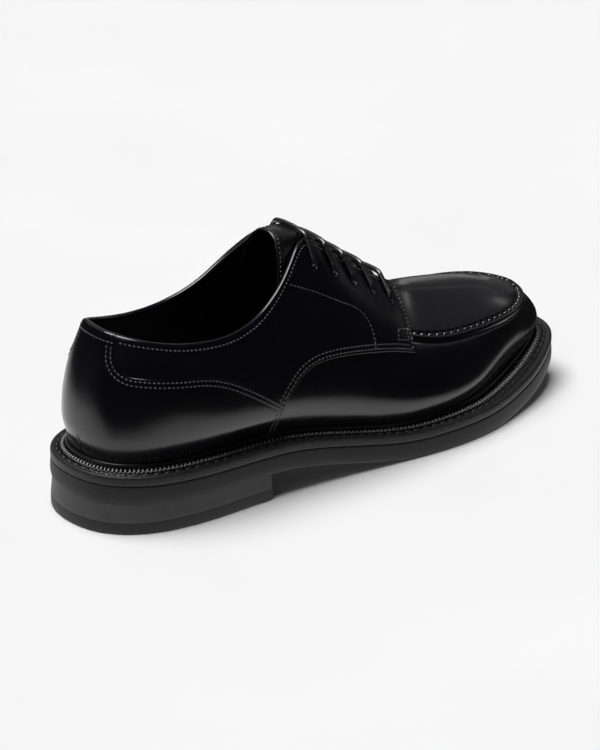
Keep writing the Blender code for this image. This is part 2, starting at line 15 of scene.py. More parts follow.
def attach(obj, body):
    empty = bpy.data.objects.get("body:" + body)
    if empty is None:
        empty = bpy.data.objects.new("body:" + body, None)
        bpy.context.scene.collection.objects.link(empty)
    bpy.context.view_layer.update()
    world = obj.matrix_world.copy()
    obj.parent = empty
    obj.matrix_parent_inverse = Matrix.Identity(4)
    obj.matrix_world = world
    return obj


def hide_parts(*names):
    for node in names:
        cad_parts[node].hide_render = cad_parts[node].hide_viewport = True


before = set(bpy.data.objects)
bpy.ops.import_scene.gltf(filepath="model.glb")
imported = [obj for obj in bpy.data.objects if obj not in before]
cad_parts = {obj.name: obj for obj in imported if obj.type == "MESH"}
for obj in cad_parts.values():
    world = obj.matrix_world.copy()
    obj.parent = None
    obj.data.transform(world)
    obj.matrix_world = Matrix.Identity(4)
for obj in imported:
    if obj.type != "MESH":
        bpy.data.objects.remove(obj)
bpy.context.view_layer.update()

# Driving dimensions, millimetres
LENGTH = 304.0  # sole, heel to toe
MIDDLE = (-2.8, 152)  # middle of the sole in plan, which becomes the origin
OUTSOLE = 9.2  # outsole thickness
LIP = 8.0  # height of the welt's lip against the upper
WELT_WIDTH = 9.7  # rim of the welt to the foot of the upper, along the sides
WALL = 1.8  # upper, leather with its lining
OVERLAY = 1.2  # leather of the quarters and the counter
TONGUE = 2.2  # padded tongue
INSOLE = 4.4
GAP = 0.3  # between pieces that meet
RIDGE = 1.3  # height of the raised apron seam
LACE_RADIUS = 1.4
EYELET_INSET = 14.0  # eyelet to the edge of the facing
METRE = 0.001

# Heel and underside
BREAST = 91.0  # front face of the heel
HEEL_RISE = 16.0  # underside of the outsole at the back of the heel
BREAST_RISE = 13.2  # the same at the breast
FLAT_FROM = 186.0  # forefoot's flat spot
FLAT_TO = 222.0
TOE_SPRING = 13.5
TOE_POWER = 1.9
LIFT = 6.0  # worn layer under the heel

# Sole outline: station, lateral and medial half width of each section
SOLE = [
    (0, 0, 0), (6, 22.3, -22.3), (20, 34.5, -34.5), (45, 41.1, -41.1), (80, 41.5, -39.4),
    (110, 42, -35.1), (140, 44, -34.4), (170, 47.2, -39.2), (200, 49.2, -48.1), (228, 46.2, -54.2),
    (253, 38.4, -54.8), (274, 29.2, -50), (290, 19, -41.2), (300, 9, -29.3), (304, -11.4, -11.4),
]

# Sections of the upper. Each stands on the rim at rim_y, on either side.
# Share: the welt's width there, as a share of its width along the sides.
WeltShare = namedtuple("WeltShare", "rim_y lateral medial")
WELT_SHARE = [WeltShare(*row) for row in (
    (0, 1, 1), (120, 1, 1), (200, 1, 1), (225, 1.2, 1.03), (250, 1.46, 1.06), (272, 1.52, 1.08),
    (290, 1.32, 1.1), (304, 1.12, 1.12),
)]

# Bulge: how far the wall stands out over its foot, and how high above the outsole.
Bulge = namedtuple("Bulge", "rim_y lateral medial height")
BULGE = [Bulge(*row) for row in (
    (0, 1.2, 1.2, 24), (12, 2, 2, 24), (30, 3.4, 3.2, 24), (66, 5.3, 5, 22), (92, 6.5, 6.5, 22),
    (119, 7, 8.5, 22), (145, 6.5, 9, 21), (176, 5.5, 7, 19), (200, 4.5, 4.5, 17), (228, 4, 4.2, 16),
    (253, 3.5, 3.8, 15), (274, 3.8, 3.6, 14.5), (290, 4.2, 3.4, 14.5), (304, 3.4, 3.4, 14.5),
)]

# Shoulder: where each section turns in. From the throat forward it is the apron seam.
Section = namedtuple("Section", "rim_y lateral medial y z_lateral z_medial")
SHOULDER = [Section(*row) for row in (
    (0, 0, 0, 12.2, 72, 72), (12, 18.2, -18.2, 16.9, 71.6, 71.6), (30, 30.5, -30.5, 30.5, 70, 70),
    (66, 36.5, -35.5, 65, 66, 66), (92, 36.8, -35, 94, 66.5, 66.5), (119, 34.4, -34, 123, 72, 72),
    (145, 32.8, -34, 153, 70, 71), (176, 29.5, -31.5, 187.5, 57, 60.5),
    (200, 30.5, -32.5, 205.5, 51.8, 57.5), (228, 28.3, -31, 230, 49.2, 56.3),
    (253, 22, -29.5, 256.5, 47.8, 54.3), (274, 13, -24, 274, 47.4, 52.6),
    (290, 4.5, -16, 282.5, 47.7, 51.2), (304, -6, -6, 286.5, 49.3, 49.3),
)]

# Top line: collar, then the edge of the facing, then the crown of the apron.
TOP_LINE = [Section(*row) for row in (
    (0, 0, 0, 19.6, 95, 95), (12, 12.5, -12.5, 22.4, 94.2, 94), (30, 21.8, -21, 30.5, 92, 89.8),
    (50, 28, -26.5, 46, 88.4, 85), (66, 30.3, -28.5, 62, 86.6, 83), (80, 29.8, -28.3, 78, 86.8, 84.3),
    (92, 27, -26.8, 93, 90.2, 88.8), (100, 24.2, -25.4, 102.5, 94.5, 94),
    (107, 21.2, -23.6, 111.5, 100.3, 100.6), (113, 17.4, -20.6, 119.5, 106.6, 107.3),
    (119, 13, -16.4, 127, 112.2, 113), (124, 10, -13, 132.5, 114.4, 115),
    (140, 9.2, -11.8, 147, 107, 107.5), (158, 8.3, -10.8, 170, 91.4, 91.4),
    (176, 7.2, -9.5, 193.5, 75.8, 75.4), (200, 8.3, -12, 212.5, 68.6, 68.8), (228, 8, -14, 236, 64, 64.8),
    (253, 5.5, -13, 255, 60.5, 61.3), (274, 1, -10.6, 264, 58.6, 59.1),
    (290, -2.6, -8.4, 267.6, 57.9, 58.1), (304, -5.5, -5.5, 269, 57.6, 57.6),
)]

# Pattern lines. The counter's upper edge and the quarters' lower edge meet at the joint.
COUNTER_EDGE = 12.0  # rim_y of the counter's upright edge
JOINT = 99.5  # rim_y where counter and quarter meet low on the side
FACING_TOP = 124.0  # rim_y of the facing's upper corner
FACING_FOOT = 176.0  # rim_y of the quarter's front edge
EYELETS_FROM = 135.0  # y on the facing's edge of the first and the last eyelet
EYELETS_TO = 182.5
EYELETS = 5
# Edges by rim_y and height
COUNTER_LINE = [(25, 75.8), (48, 73.2), (66, 69), (80, 60.8), (99.5, 47.3)]
QUARTER_LINE = [(99.5, 47.3), (106, 55.6), (114, 60.8), (128, 62.3), (150, 58.5), (176, 50.3)]
TAB_CORNER = (21.5, 9.5, 7.5)  # counter's rounded corner: rim_y of its start, length, rise

# Sides of the sole's layers, from the top down: inset from the rim and share of the thickness
OUTSOLE_SIDE = [(0.7, 1), (0.3, 0.985), (0.12, 0.955), (0.04, 0.88), (-0.08, 0.7), (-0.22, 0.48),
                (-0.26, 0.32), (-0.16, 0.17), (0.05, 0.07), (0.3, 0.02), (0.7, 0)]
HEEL_SIDE = [(0.66, 1), (0.58, 0.992), (0.54, 0.9), (0.36, 0.62), (0.06, 0.3), (-0.22, 0.06),
             (-0.22, 0.01), (-0.18, 0)]
LIFT_SIDE = [(-0.2, 1), (-0.24, 0.99), (-0.28, 0.9), (-0.34, 0.5), (-0.3, 0.2), (-0.1, 0.08),
             (0.3, 0.02), (0.9, 0)]
INSOLE_SIDE = [(1, 1), (0.4, 0.95), (0.1, 0.86), (0, 0.7), (0, 0.1), (0.2, 0)]

# Welt, from its rim to its lip: inset from the rim and height above the outsole
WELT_SIDE = [
    (0.9, 0.02), (0.4, 0.1), (0.12, 0.35), (0, 0.9), (-0.04, 1.6), (0, 3.2), (0.1, 4), (0.35, 4.55),
    (0.8, 4.9), (1.4, 5.05), (2.1, 5), (2.6, 4.75), (2.9, 4.35), (3.25, 4.15), (3.6, 4.25), (3.95, 4.5),
    (4.15, 4.95), (4.5, 5.65), (5, 6.3), (5.6, 6.65), (6.2, 6.65), (6.75, 6.3), (7.1, 5.75), (7.25, 5.2),
    (7.35, 4.95), (7.5, 5.1), (7.52, 5.9), (7.5, 6.8), (7.54, 7.5), (7.68, 7.95), (7.95, 8.2), (8.3, 8.25),
]
BEAD = (4.15, 7.25)  # insets between which the welt is ribbed
BEAD_FOOT = 4.95  # height from which it is ribbed
BEAD_POWER = 0.6  # how quickly the ribs rise to their full depth
BEAD_FROM = 14  # first row of the glossy part of the welt
RIB = 2.36  # spacing of the ribs
RIB_DEPTH = 0.75
RIB_LEAN = 0.6  # share of that depth by which the grooves also lie inwards
RIB_COLUMNS = 6
PAINTED_HIGHLIGHT_FROM = 0.3  # share of its full depth from which a rib's top is painted pale, as a painted highlight
LIP_INNER = (0.4, 0.3, 0.05)  # lip's inner edge: behind the wall's face, below its top, dip before it
LIP_END = (0.5, 1.6)  # the row after it: further in, and down

# Leather
BORDER = 0.6  # radius of a folded leather edge
SINK = 0.15  # how far that edge dips below the face it lies on
LAID = OVERLAY + GAP  # outer face of the quarters over the wall
LAPPED = LAID + 0.5  # outer face of the counter, which laps the quarters
ROLL = 1.3  # below the top line, where a leather starts to roll over it
TURNED_IN = (1.5, 4, 8)  # rows of its turned-in edge, down the inside
QUARTER_UNDER = 4.0  # how far the quarters run under the counter's tab
QUARTER_TUCK = (3, 5)  # and under its upper edge, with the length of the passage
COUNTER_FOOT = (1, 14, 0.35)  # the counter thins to its foot: start, length, thickness
NOTCH = (11, 2, 1, 0.5)  # notch in the heel's back: height, fade, depth, half width
HOLE = (2, 2.4, 0.35, 0.7)  # punched eyelet: radius, depth, start and width of its soft edge
HOLE_RIM = (0.12, 0.7, 0.5)  # its raised rim: height, distance from the hole, half width
STEP = 0.4  # step for slopes
SEAM_BAND = 6.0  # half width of the fine rows along the apron seam
SEAM_CLEAR = (12, 8)  # their least distance from the foot and the top line, at the middle
SEAM_START = 8.0  # length over which the seam rises at the throat
RIDGE_FORM = (0.05, 0.2, 1.5)  # the seam's ridge: added height, shift, half width
SEAM_FOLD = (0.35, 2.6, 0.7)  # fold below it: depth, distance, half width
SEAM_PULL = (2.3, 0.75, 0.25)  # groove above it: distance, half width, least share of its depth
CROWN = 0.25  # how full the bridge from one top line to the other is
CROWN_BLEND = 4  # rows of the wall below its top line that are smoothed into the crown
CROWN_PASSES = 10
# Soft creases in the medial lining: station, height along the wall, turn in degrees, depth
LINING_CREASES = [(92, 46, 40, 0.9), (99, 42, 40, -0.7), (106, 44, 40, 0.8)]
CREASE_WIDTH, CREASE_LENGTH = 3.2, 12

# Stitches
STITCH = 2.2  # spacing in the upper
STITCH_LENGTH = 1.4
THREAD = 0.33  # thread radius there
# One stitch: place along its length, then height and width in radii
STITCH_SHAPE = [(-0.5, -0.5, 0.55), (-0.38, 0.15, 0.9), (0, 0.4, 1), (0.38, 0.15, 0.9), (0.5, -0.5, 0.55)]
STITCH_SIDES = 6
STITCH_STEP = 0.3  # either way along a row, for a stitch's direction
DENT = (0.12, 0.45)  # dent under a row: depth and half width
QUARTER_ROWS = (1.7, 3.9)  # insets of the rows along the quarters' lower edge
FRONT_ROW = 1.5  # inset of the row along their front edge
COUNTER_ROWS = (1.8, 4)
COLLAR_ROW = 3.4  # stitches below the collar's edge
TAB_ROW = COLLAR_ROW + 0.8
# Spacing, length and thread radius where they differ
APRON_STITCH = (4.8, 2.9, 0.7)
WELT_STITCH = (5.4, 4, 0.6)
TACK_STITCH = (1.7, 1.2)
NOTCH_STITCH = (2.6, 2.2)
APRON_ROW = 1.7  # above the apron seam
WELT_ROW = (3.2, 4.5)  # inset and height
NOTCH_ROWS = (1.6, 4, 6.4, 8.8)  # above the welt's lip
NOTCH_REACH = 1.3  # to either side of the heel's back
# Rows on the quarters and where they meet the counter, by rim_y and height
EYESTAY = [(110.5, 99), (118.9, 94.6), (127.9, 89.7), (136.4, 84.4), (144, 79.2), (147.6, 74.6),
           (149.5, 69.4), (150.3, 64.5), (150.5, 59.5)]
JOINT_TACK = [(96.4, 50.2), (100.4, 51.4), (101.6, 46.4), (97.6, 45.2), (96.4, 50.2)]
BAR_TACK = [(166, 62.3), (173, 60), (171.8, 56.2), (165, 58.6), (166, 62.3)]

# Tongue
TONGUE_UNDER = 2 / 14  # how far it runs under the apron, as a share of the way to the toe
TONGUE_SIDE = 22.0  # how far it reaches down beside the throat
TONGUE_FILL = 4.2  # how far it fills the throat up to the laces
TONGUE_RUN = 12.0  # length over which it rises to that
TONGUE_EASE = 0.3  # share of the throat's width over which it fills
TONGUE_BORDER = 1.3  # radius of its edge
TONGUE_DENT = (0.15, 3.2, 0.55)  # dent along its edge: depth, inset, half width
TONGUE_SECTIONS, TONGUE_STEPS = 48, 12
TONGUE_ROW = 6  # row of its mesh that carries its stitches
TONGUE_EDGE = [  # its arched upper edge
    (17, 113.7, 91), (15.5, 115, 98.3), (13.8, 116.3, 105.6), (12, 117.5, 112.4),
    (8.4, 118.6, 118.3), (3.4, 118.9, 121), (-2, 118.8, 120.8), (-9.2, 118.8, 116.8),
    (-14.2, 119, 111.5), (-18.2, 119.3, 106.2), (-20.8, 119.6, 100.5), (-22.4, 120, 92),
]

# Laces
LACE_CROWN = 0.1  # how full they stand over the throat: they are drawn tight
LACE_SINK = 0.2  # how far they press into the facing
LACE_ENDS = [(-4, 0), (-1.2, 0), (1.5, 0.5), (2.7, 2.2)]  # out of a hole: up and along
LACE_STEP, LACE_SIDES = 0.35, 16
BRAID = (0.93, 0.018)  # mean radius of the braid and its relief, as shares of the lace's
BRAID_PITCH, BRAID_STRANDS = 5, 4

# Angles in degrees past which an edge is shaded sharp
SHARP_SOLE, SHARP_WELT, SHARP_LEATHER, SHARP = 35, 50, 75, 60

# Camera and light
AZIMUTH = 128.2  # degrees from +Y towards +X, where the camera looks from
ELEVATION = 23.09
DISTANCE = 1721.7
AIM = (-14.3, 152, 30.7)
LENS = 165.0
SENSOR = 36.0
FAR, FLOOR_HALF = 50, 6  # metres
FLOOR_GREY = 0.86
WORLD = 0.02
GLOW = 0.97  # the floor's brightness in reflections
GLOW_NEAR = ((60, 110, 150, 230, 292, 304), (150, 120, 85, 50, 45, 75))  # its reach by station
GLOW_FAR = 480.0  # its reach on the far side
GLOW_WAY = np.array((-0.85, -0.53))  # direction of that far side
GLOW_TURN = 0.25  # how far past square to that way the far reach starts
GLOW_FADE = 0.2  # share of the reach from which it fades
GLOW_HEIGHT = 0.5
# Broad soft lights far off: name, azimuth and elevation they come from, width in degrees, strength
LIGHTS = [
    ("overhead", 217, 76, 42, 3.22),
    ("far_side", -50, 25, 60, 0.09),
    ("front", -2, 33, 40, 0.055),
    ("throat", -6, 25, 8, 0.016),
    ("medial", -95, 38, 30, 0.07),
    ("back", 163, 40, 30, 0.14),
    ("horizon", -47, 4, 14, 0.014),
]


def curve_through(knots, points, closed=False, start=None):
    """Cubic curve through points, smooth to its curvature. start fixes its first direction."""
    t = np.asarray(knots, float)
    p = np.asarray(points, float)
    n = len(t)
    h = np.diff(t)
    slope = np.diff(p, axis=0) / h[:, None]
    matrix = np.zeros((n, n))
    right = np.zeros_like(p)
    for i in range(1, n - 1):
        matrix[i, i - 1:i + 2] = h[i - 1], 2 * (h[i - 1] + h[i]), h[i]
        right[i] = 6 * (slope[i] - slope[i - 1])
    matrix[0, 0] = matrix[-1, -1] = 1
    if closed:
        matrix[0, [0, 1, n - 2]] = 2 * (h[-1] + h[0]), h[0], h[-1]
        right[0] = 6 * (slope[0] - slope[-1])
        matrix[-1, 0] = -1
    elif start is not None:
        matrix[0, :2] = 2 * h[0], h[0]
        right[0] = 6 * (slope[0] - np.asarray(start, float))
    bend = np.linalg.solve(matrix, right)

    def at(x):
        x = np.asarray(x, float)
        i = np.clip(np.searchsorted(t, x, side="right") - 1, 0, n - 2)
        a = (x - t[i])[..., None]
        b = (t[i + 1] - x)[..., None]
        k = h[i][..., None]
        cubic = (bend[i] * b ** 3 + bend[i + 1] * a ** 3) / (6 * k)
        return cubic + (p[i] / k - bend[i] * k / 6) * b + (p[i + 1] / k - bend[i + 1] * k / 6) * a

    return at


def chord_lengths(points):
    steps = np.linalg.norm(np.diff(np.asarray(points, float), axis=0), axis=1)
    return np.concatenate([[0.0], np.cumsum(steps)])


def unit(v):
    return v / np.linalg.norm(v, axis=-1, keepdims=True)


# The rim of the sole, as a closed curve from the back of the heel by the lateral side
RIM_POINTS = [(x, y) for y, x, _ in SOLE]
RIM_POINTS += [(x, y) for y, _, x in SOLE[-2:0:-1]] + [RIM_POINTS[0]]
RIM_KNOTS = chord_lengths(RIM_POINTS)
RIM_TOTAL = RIM_KNOTS[-1]
RIM_TOE = RIM_KNOTS[len(SOLE) - 1]
RIM = curve_through(RIM_KNOTS, RIM_POINTS, closed=True)


def rim(u, inset=0.0):
    """Point of the sole's outline at u, moved inwards by inset, and its outward direction."""
    u = np.asarray(u, float) % RIM_TOTAL
    along = unit(RIM((u + GAP) % RIM_TOTAL) - RIM((u - GAP) % RIM_TOTAL))
    out = np.stack([along[..., 1], -along[..., 0]], axis=-1)
    return RIM(u) - np.asarray(inset, float)[..., None] * out, out


def rim_place(y, side):
    """Where the rim passes y, on the lateral (1) or the medial (-1) side."""
    ends = (0.0, RIM_TOE) if side > 0 else (RIM_TOTAL, RIM_TOE)
    u = np.linspace(*ends, 1500)
    heights = np.maximum.accumulate(RIM(u % RIM_TOTAL)[:, 1])
    return np.interp(y, heights, u)


def underside(y):
    """Height of the outsole's underside: heel seat, arch, flat forefoot, toe spring."""
    y = np.asarray(y, float)
    t = np.clip((FLAT_FROM - y) / (FLAT_FROM - BREAST), 0, 1)
    arch = BREAST_RISE * t * t * (3 - 2 * t)
    seat = BREAST_RISE + (HEEL_RISE - BREAST_RISE) * (BREAST - y) / BREAST
    spring = TOE_SPRING * np.clip((y - FLAT_TO) / (LENGTH - FLAT_TO), 0, 1) ** TOE_POWER
    return np.where(y < BREAST, seat, arch) + spring


def deck(y):
    """Height of the outsole's upper face."""
    return underside(y) + OUTSOLE


def around(table, value):
    """Closed curve over u through one value of each row, lateral side first."""
    rows = [(rim_place(r.rim_y, 1), value(r, 1)) for r in table]
    rows[0] = (0.0, rows[0][1])
    rows[-1] = (RIM_TOE, rows[-1][1])
    rows += [(rim_place(r.rim_y, -1), value(r, -1)) for r in table[-2:0:-1]]
    rows.append((RIM_TOTAL, rows[0][1]))
    return curve_through([u for u, _ in rows], [v for _, v in rows], closed=True)


def on_side(row, side):
    if side > 0:
        return (row.lateral, row.y, row.z_lateral)
    return (row.medial, row.y, row.z_medial)


SHARE_AT = around(WELT_SHARE, lambda r, side: (r.lateral if side > 0 else r.medial,))
BULGE_AT = around(BULGE, lambda r, side: (r.lateral if side > 0 else r.medial, r.height))
SHOULDER_AT = around(SHOULDER, on_side)
TOP_AT = around(TOP_LINE, on_side)
COUNTER_Z, QUARTER_Z = [curve_through([y for y, _ in line], [(z,) for _, z in line])
                        for line in (COUNTER_LINE, QUARTER_LINE)]


def wall_column(u):
    """One section of the upper's outer face, from its foot to the top line.

    Gives the curve over the distance from the foot, and the distances of the shoulder and the top.
    """
    u = u % RIM_TOTAL
    foot, out = rim(u, WELT_WIDTH * SHARE_AT(u)[0])
    base = deck(foot[1]) + GAP
    stand_out, height = BULGE_AT(u)
    belly = foot + out * stand_out
    points = np.array([
        (*foot, base),
        (*belly, deck(foot[1]) + height),
        SHOULDER_AT(u),
        TOP_AT(u),
    ])
    knots = chord_lengths(points)
    return curve_through(knots, points, start=(0, 0, 1)), knots[2], knots[3]


def distance_at_height(u, z):
    """Distance from its foot at which the section at u reaches a height."""
    curve, _, top = wall_column(u)
    d = np.linspace(0, top, 400)
    return np.interp(z, np.maximum.accumulate(curve(d)[:, 2]), d)


def smooth(x):
    x = np.clip(x, 0, 1)
    return x * x * (3 - 2 * x)


def bell(x, width):
    return np.exp(-(np.asarray(x) / width) ** 2)


def surface(places, distances):
    """Points and outward directions of the upper's face, a row of distances for each place."""
    points, normals = [], []
    for u, d in zip(places, distances):
        here = wall_column(u)[0]
        ahead = wall_column(u + STEP)[0]
        behind = wall_column(u - STEP)[0]
        points.append(here(d))
        normals.append(np.cross(ahead(d) - behind(d), here(d + STEP) - here(d - STEP)))
    return np.array(points), unit(np.array(normals))


def line_on(places, distances):
    """One line of points on the upper's face."""
    return np.array([wall_column(u)[0](d) for u, d in zip(places, distances)])


def edge_distance(u, cornered=True):
    """Distance of the pattern edge from the foot of the section at u."""
    y = np.clip(RIM(u % RIM_TOTAL)[1], COUNTER_EDGE, FACING_FOOT)
    height = (COUNTER_Z if y <= JOINT else QUARTER_Z)(y)[0]
    start, length, rise = TAB_CORNER
    if cornered and y < start:
        height += rise * (1 - np.sqrt(max(1 - ((start - y) / length) ** 2, 0)))
    return distance_at_height(u, height)


def top_distance(u):
    return wall_column(u)[2]


def lip_distance(u):
    return distance_at_height(u, wall_column(u)[0](0.0)[2] + LIP)


def spread(*runs):
    """Numbers along several runs of (start, end, count), each end counted once."""
    parts = [np.linspace(a, b, n + 1)[:-1] for a, b, n in runs]
    return np.concatenate(parts + [[runs[-1][1]]])


# Making pieces

def put(name, data):
    made = bpy.data.objects.new(name, data)
    bpy.context.scene.collection.objects.link(made)
    return made


def in_metres(points):
    """Places about the middle of the sole, in metres, as plain lists."""
    return ((np.asarray(points, float) - (*MIDDLE, 0.0)) * METRE).tolist()


def make_piece(name, points, faces, material, slot, nodes=(), sharp=SHARP):
    mesh = bpy.data.meshes.new(name)
    mesh.from_pydata(in_metres(points), [], [list(map(int, f)) for f in faces])
    mesh.shade_smooth()
    mesh.set_sharp_from_angle(angle=np.radians(sharp))
    mesh.materials.append(material)
    piece = put(name, mesh)
    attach(piece, "root")
    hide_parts(*nodes)
    return piece


def grid(columns, rows, closed=False):
    """Faces of a lattice whose points are numbered column by column."""
    c = np.arange(columns if closed else columns - 1)[:, None]
    r = np.arange(rows - 1)[None, :]
    near = c * rows + r
    far = (c + 1) % columns * rows + r
    return np.stack([near, far, far + 1, near + 1], -1).reshape(-1, 4)


def ring_faces(rings, sides, first=0):
    """Faces between rings of points, each ring closed on itself."""
    i = np.arange(sides)
    j = (i + 1) % sides
    ring = first + np.arange(rings - 1)[:, None] * sides
    return np.stack([ring + i, ring + j, ring + sides + j, ring + sides + i], -1).reshape(-1, 4).tolist()


def joined(rows):
    """Several point and face sets as one."""
    points, faces, count = [], [], 0
    for p, f in rows:
        points.append(p)
        faces += [[v + count for v in face] for face in f]
        count += len(p)
    return np.concatenate(points), faces


def border_distance(points, border):
    """Distance of each point from a border line."""
    tree = KDTree(len(border))
    for i, p in enumerate(border):
        tree.insert(Vector(p), i)
    tree.balance()
    flat = points.reshape(-1, 3)
    found = [tree.find(Vector(p))[2] for p in flat]
    return np.array(found).reshape(points.shape[:-1])


def dense(line, step=0.25):
    """A line with points close together."""
    run = chord_lengths(line)
    at = np.linspace(0, run[-1], int(run[-1] / step) + 2)
    return np.stack([np.interp(at, run, np.asarray(line)[:, k]) for k in range(3)], axis=1)


def rounded(distance, radius):
    """Height of a quarter round at a distance from its edge, from 0 to 1."""
    t = np.clip(distance / radius, 0, 1)
    return np.sqrt(np.clip(1 - (1 - t) ** 2, 0, 1))


def folded(distance, thickness):
    """Height of a laid-on leather at a distance from its folded edge."""
    return (thickness + SINK) * rounded(distance, BORDER) - SINK


def dented(distance, rows):
    """Depth of the dents under stitch rows, given by their insets."""
    depth, width = DENT
    return sum(depth * bell(distance - row, width) for row in rows)


# Materials
PATCHES = (0.3, 0.7)  # range of the noise over which colour and roughness vary


def fill(made, **values):
    """A node with its values set: its own, or those of its sockets, with _ for a space."""
    for key, value in values.items():
        if hasattr(made, key):
            setattr(made, key, value)
        else:
            made.inputs[key.replace("_", " ")].default_value = value
    return made


def node(tree, kind, **values):
    return fill(tree.nodes.new(kind), **values)


def link(tree, source, output, target, entry):
    tree.links.new(source.outputs[output], target.inputs[entry])


def material(name, colour, roughness, coat=(0.0, 0.2), grain=(), level=0.5, mottle=(40, 0.25)):
    """Principled material. coat holds weight and roughness, grain the (scale per metre, height in
    metres) of its noises, mottle the scale and share by which colour and roughness vary."""
    made = bpy.data.materials.new(name)
    made.use_nodes = True
    tree = made.node_tree
    shader = fill(tree.nodes["Principled BSDF"], Coat_Weight=coat[0], Coat_Roughness=coat[1],
                  Specular_IOR_Level=level)
    where = node(tree, "ShaderNodeTexCoord")

    def noise(scale):
        texture = node(tree, "ShaderNodeTexNoise", Scale=scale, Detail=3.0)
        link(tree, where, "Object", texture, "Vector")
        return texture

    scale, share = mottle
    patches = noise(scale)
    ramp = node(tree, "ShaderNodeValToRGB")
    for stop, place, change in zip(ramp.color_ramp.elements, PATCHES, (1 - share, 1 + share)):
        stop.position = place
        stop.color = (*[c * change for c in colour], 1.0)
    link(tree, patches, "Fac", ramp, "Fac")
    link(tree, ramp, "Color", shader, "Base Color")
    gloss = node(tree, "ShaderNodeMapRange", From_Min=PATCHES[0], From_Max=PATCHES[1],
                 To_Min=roughness * (1 - share / 3), To_Max=roughness * (1 + share / 3))
    link(tree, patches, "Fac", gloss, "Value")
    link(tree, gloss, "Result", shader, "Roughness")
    last = None
    for scale, height in grain:
        bump = node(tree, "ShaderNodeBump", Distance=height)
        link(tree, noise(scale), "Fac", bump, "Height")
        if last:
            link(tree, last, "Normal", bump, "Normal")
        last = bump
    if last:
        link(tree, last, "Normal", shader, "Normal")
    return made


POLISHED = material("polished_leather", (0.002, 0.0018, 0.0038), 0.21, (0.3, 0.12),
                    [(55, 0.0003), (1300, 0.00002)])
TONGUE_LEATHER = material("tongue_leather", (0.004, 0.004, 0.005), 0.34, (0.1, 0.2), [(700, 0.00005)])
LINING = material("lining_leather", (0.02, 0.02, 0.024), 0.5, grain=[(900, 0.00006)])
INSOLE_LEATHER = material("insole_leather", (0.012, 0.011, 0.010), 0.6, grain=[(900, 0.00006)])
WELT_EDGE = material("welt_edge", (0.015, 0.0147, 0.0145), 0.42, (0.1, 0.3),
                     [(1500, 0.0003), (500, 0.0002)], 0.3, (900, 0.5))
WELT_BEAD = material("welt_leather", (0.003, 0.003, 0.0032), 0.3, (0.3, 0.25), [(1300, 0.00003)])
# Pale colour for the ribs' tops: a painted highlight standing in for their gloss, not the welt's own
# colour
WELT_PAINTED_HIGHLIGHT = material("welt_painted_highlight", (0.19, 0.188, 0.184), 0.34, (0.3, 0.25), [(1300, 0.00003)], 0.8)
WELT_THREAD = material("welt_thread", (0.02, 0.02, 0.02), 0.4, grain=[(2500, 0.0001)])
RUBBER = material("sole_rubber", (0.018, 0.0176, 0.0176), 0.5, level=0.28, mottle=(120, 0.2),
                  grain=[(1400, 0.0001), (250, 0.00006)])
STACK = material("heel_stack", (0.039, 0.0376, 0.038), 0.46, level=0.42, mottle=(120, 0.15),
                 grain=[(1400, 0.00008), (250, 0.00006)])
# Black thread coloured dark grey: partly its own colour, partly painted sheen standing in for its gloss
THREAD_WITH_PAINTED_SHEEN = material("thread", (0.035, 0.035, 0.037), 0.3, (0.2, 0.2), [(3000, 0.00008)], 0.8)
LACE = material("waxed_lace", (0.006, 0.006, 0.0072), 0.26, (1.0, 0.18), [(2500, 0.00004)], 1.0)


# Sole

def outline_rows(inset, y_to, stations):
    """Lateral and medial points of the outline at like stations. inset is a function over u."""
    u = np.linspace(0, RIM_TOTAL, 6000)
    points, _ = rim(u, inset(u))
    toe = int(np.argmax(points[:, 1]))
    heel = int(np.argmin(points[:toe // 2, 1]))
    lateral = points[heel:toe + 1]
    medial = np.concatenate([points[toe:], points[:heel + 1]])[::-1]
    turn = np.linspace(0, np.pi if y_to >= LENGTH else np.pi / 2, stations)
    share = (1 - np.cos(turn)) / (1 - np.cos(turn[-1]))
    first = lateral[0, 1]
    y = first + (min(y_to, lateral[-1, 1]) - first) * share
    return y, *[np.interp(y, np.maximum.accumulate(e[:, 1]), e[:, 0]) for e in (lateral, medial)]


def slab(name, profile, bottom, top, stuff, slot, y_to=LENGTH, stations=150, within=np.zeros_like):
    """Solid between two heights over the sole's outline, its side's profile from the top down."""
    loops = []
    end = stations if y_to < LENGTH else stations - 1
    for inset, share in profile:
        y, lateral, medial = outline_rows(lambda u: within(u) + inset, y_to, stations)
        z = bottom(y) + (top(y) - bottom(y)) * share
        right = np.stack([lateral, y, z], axis=1)[:end]
        left = np.stack([medial, y, z], axis=1)[1:][::-1]
        loops.append(np.concatenate([right, left]))
    count = len(loops[0])
    faces = [[a, d, c, b] for a, b, c, d in ring_faces(len(loops), count)]
    last = (len(loops) - 1) * count
    for i in range(count // 2):
        ring = list(dict.fromkeys([i, i + 1, count - i - 1, (count - i) % count]))
        faces += [ring, [last + v for v in reversed(ring)]]
    stands_for = name.removesuffix("_dressed")
    make_piece(name, np.concatenate(loops), faces, stuff, slot, [stands_for], SHARP_SOLE)


def make_sole():
    def lift_top(y):
        return np.full_like(y, LIFT)

    def inner_wall(u):
        return WELT_WIDTH * SHARE_AT(u % RIM_TOTAL)[..., 0] + WALL + GAP

    slab("outsole_dressed", OUTSOLE_SIDE, underside, deck, RUBBER, "sole_rubber")
    slab("heel_block_dressed", HEEL_SIDE, lift_top, underside, STACK, "heel_stack", BREAST, 90)
    slab("heel_lift_dressed", LIFT_SIDE, np.zeros_like, lift_top, RUBBER, "sole_rubber", BREAST, 90)
    slab("insole_dressed", INSOLE_SIDE, lambda y: deck(y) + GAP,
         lambda y: deck(y) + GAP + INSOLE, INSOLE_LEATHER, "insole_leather", within=inner_wall)


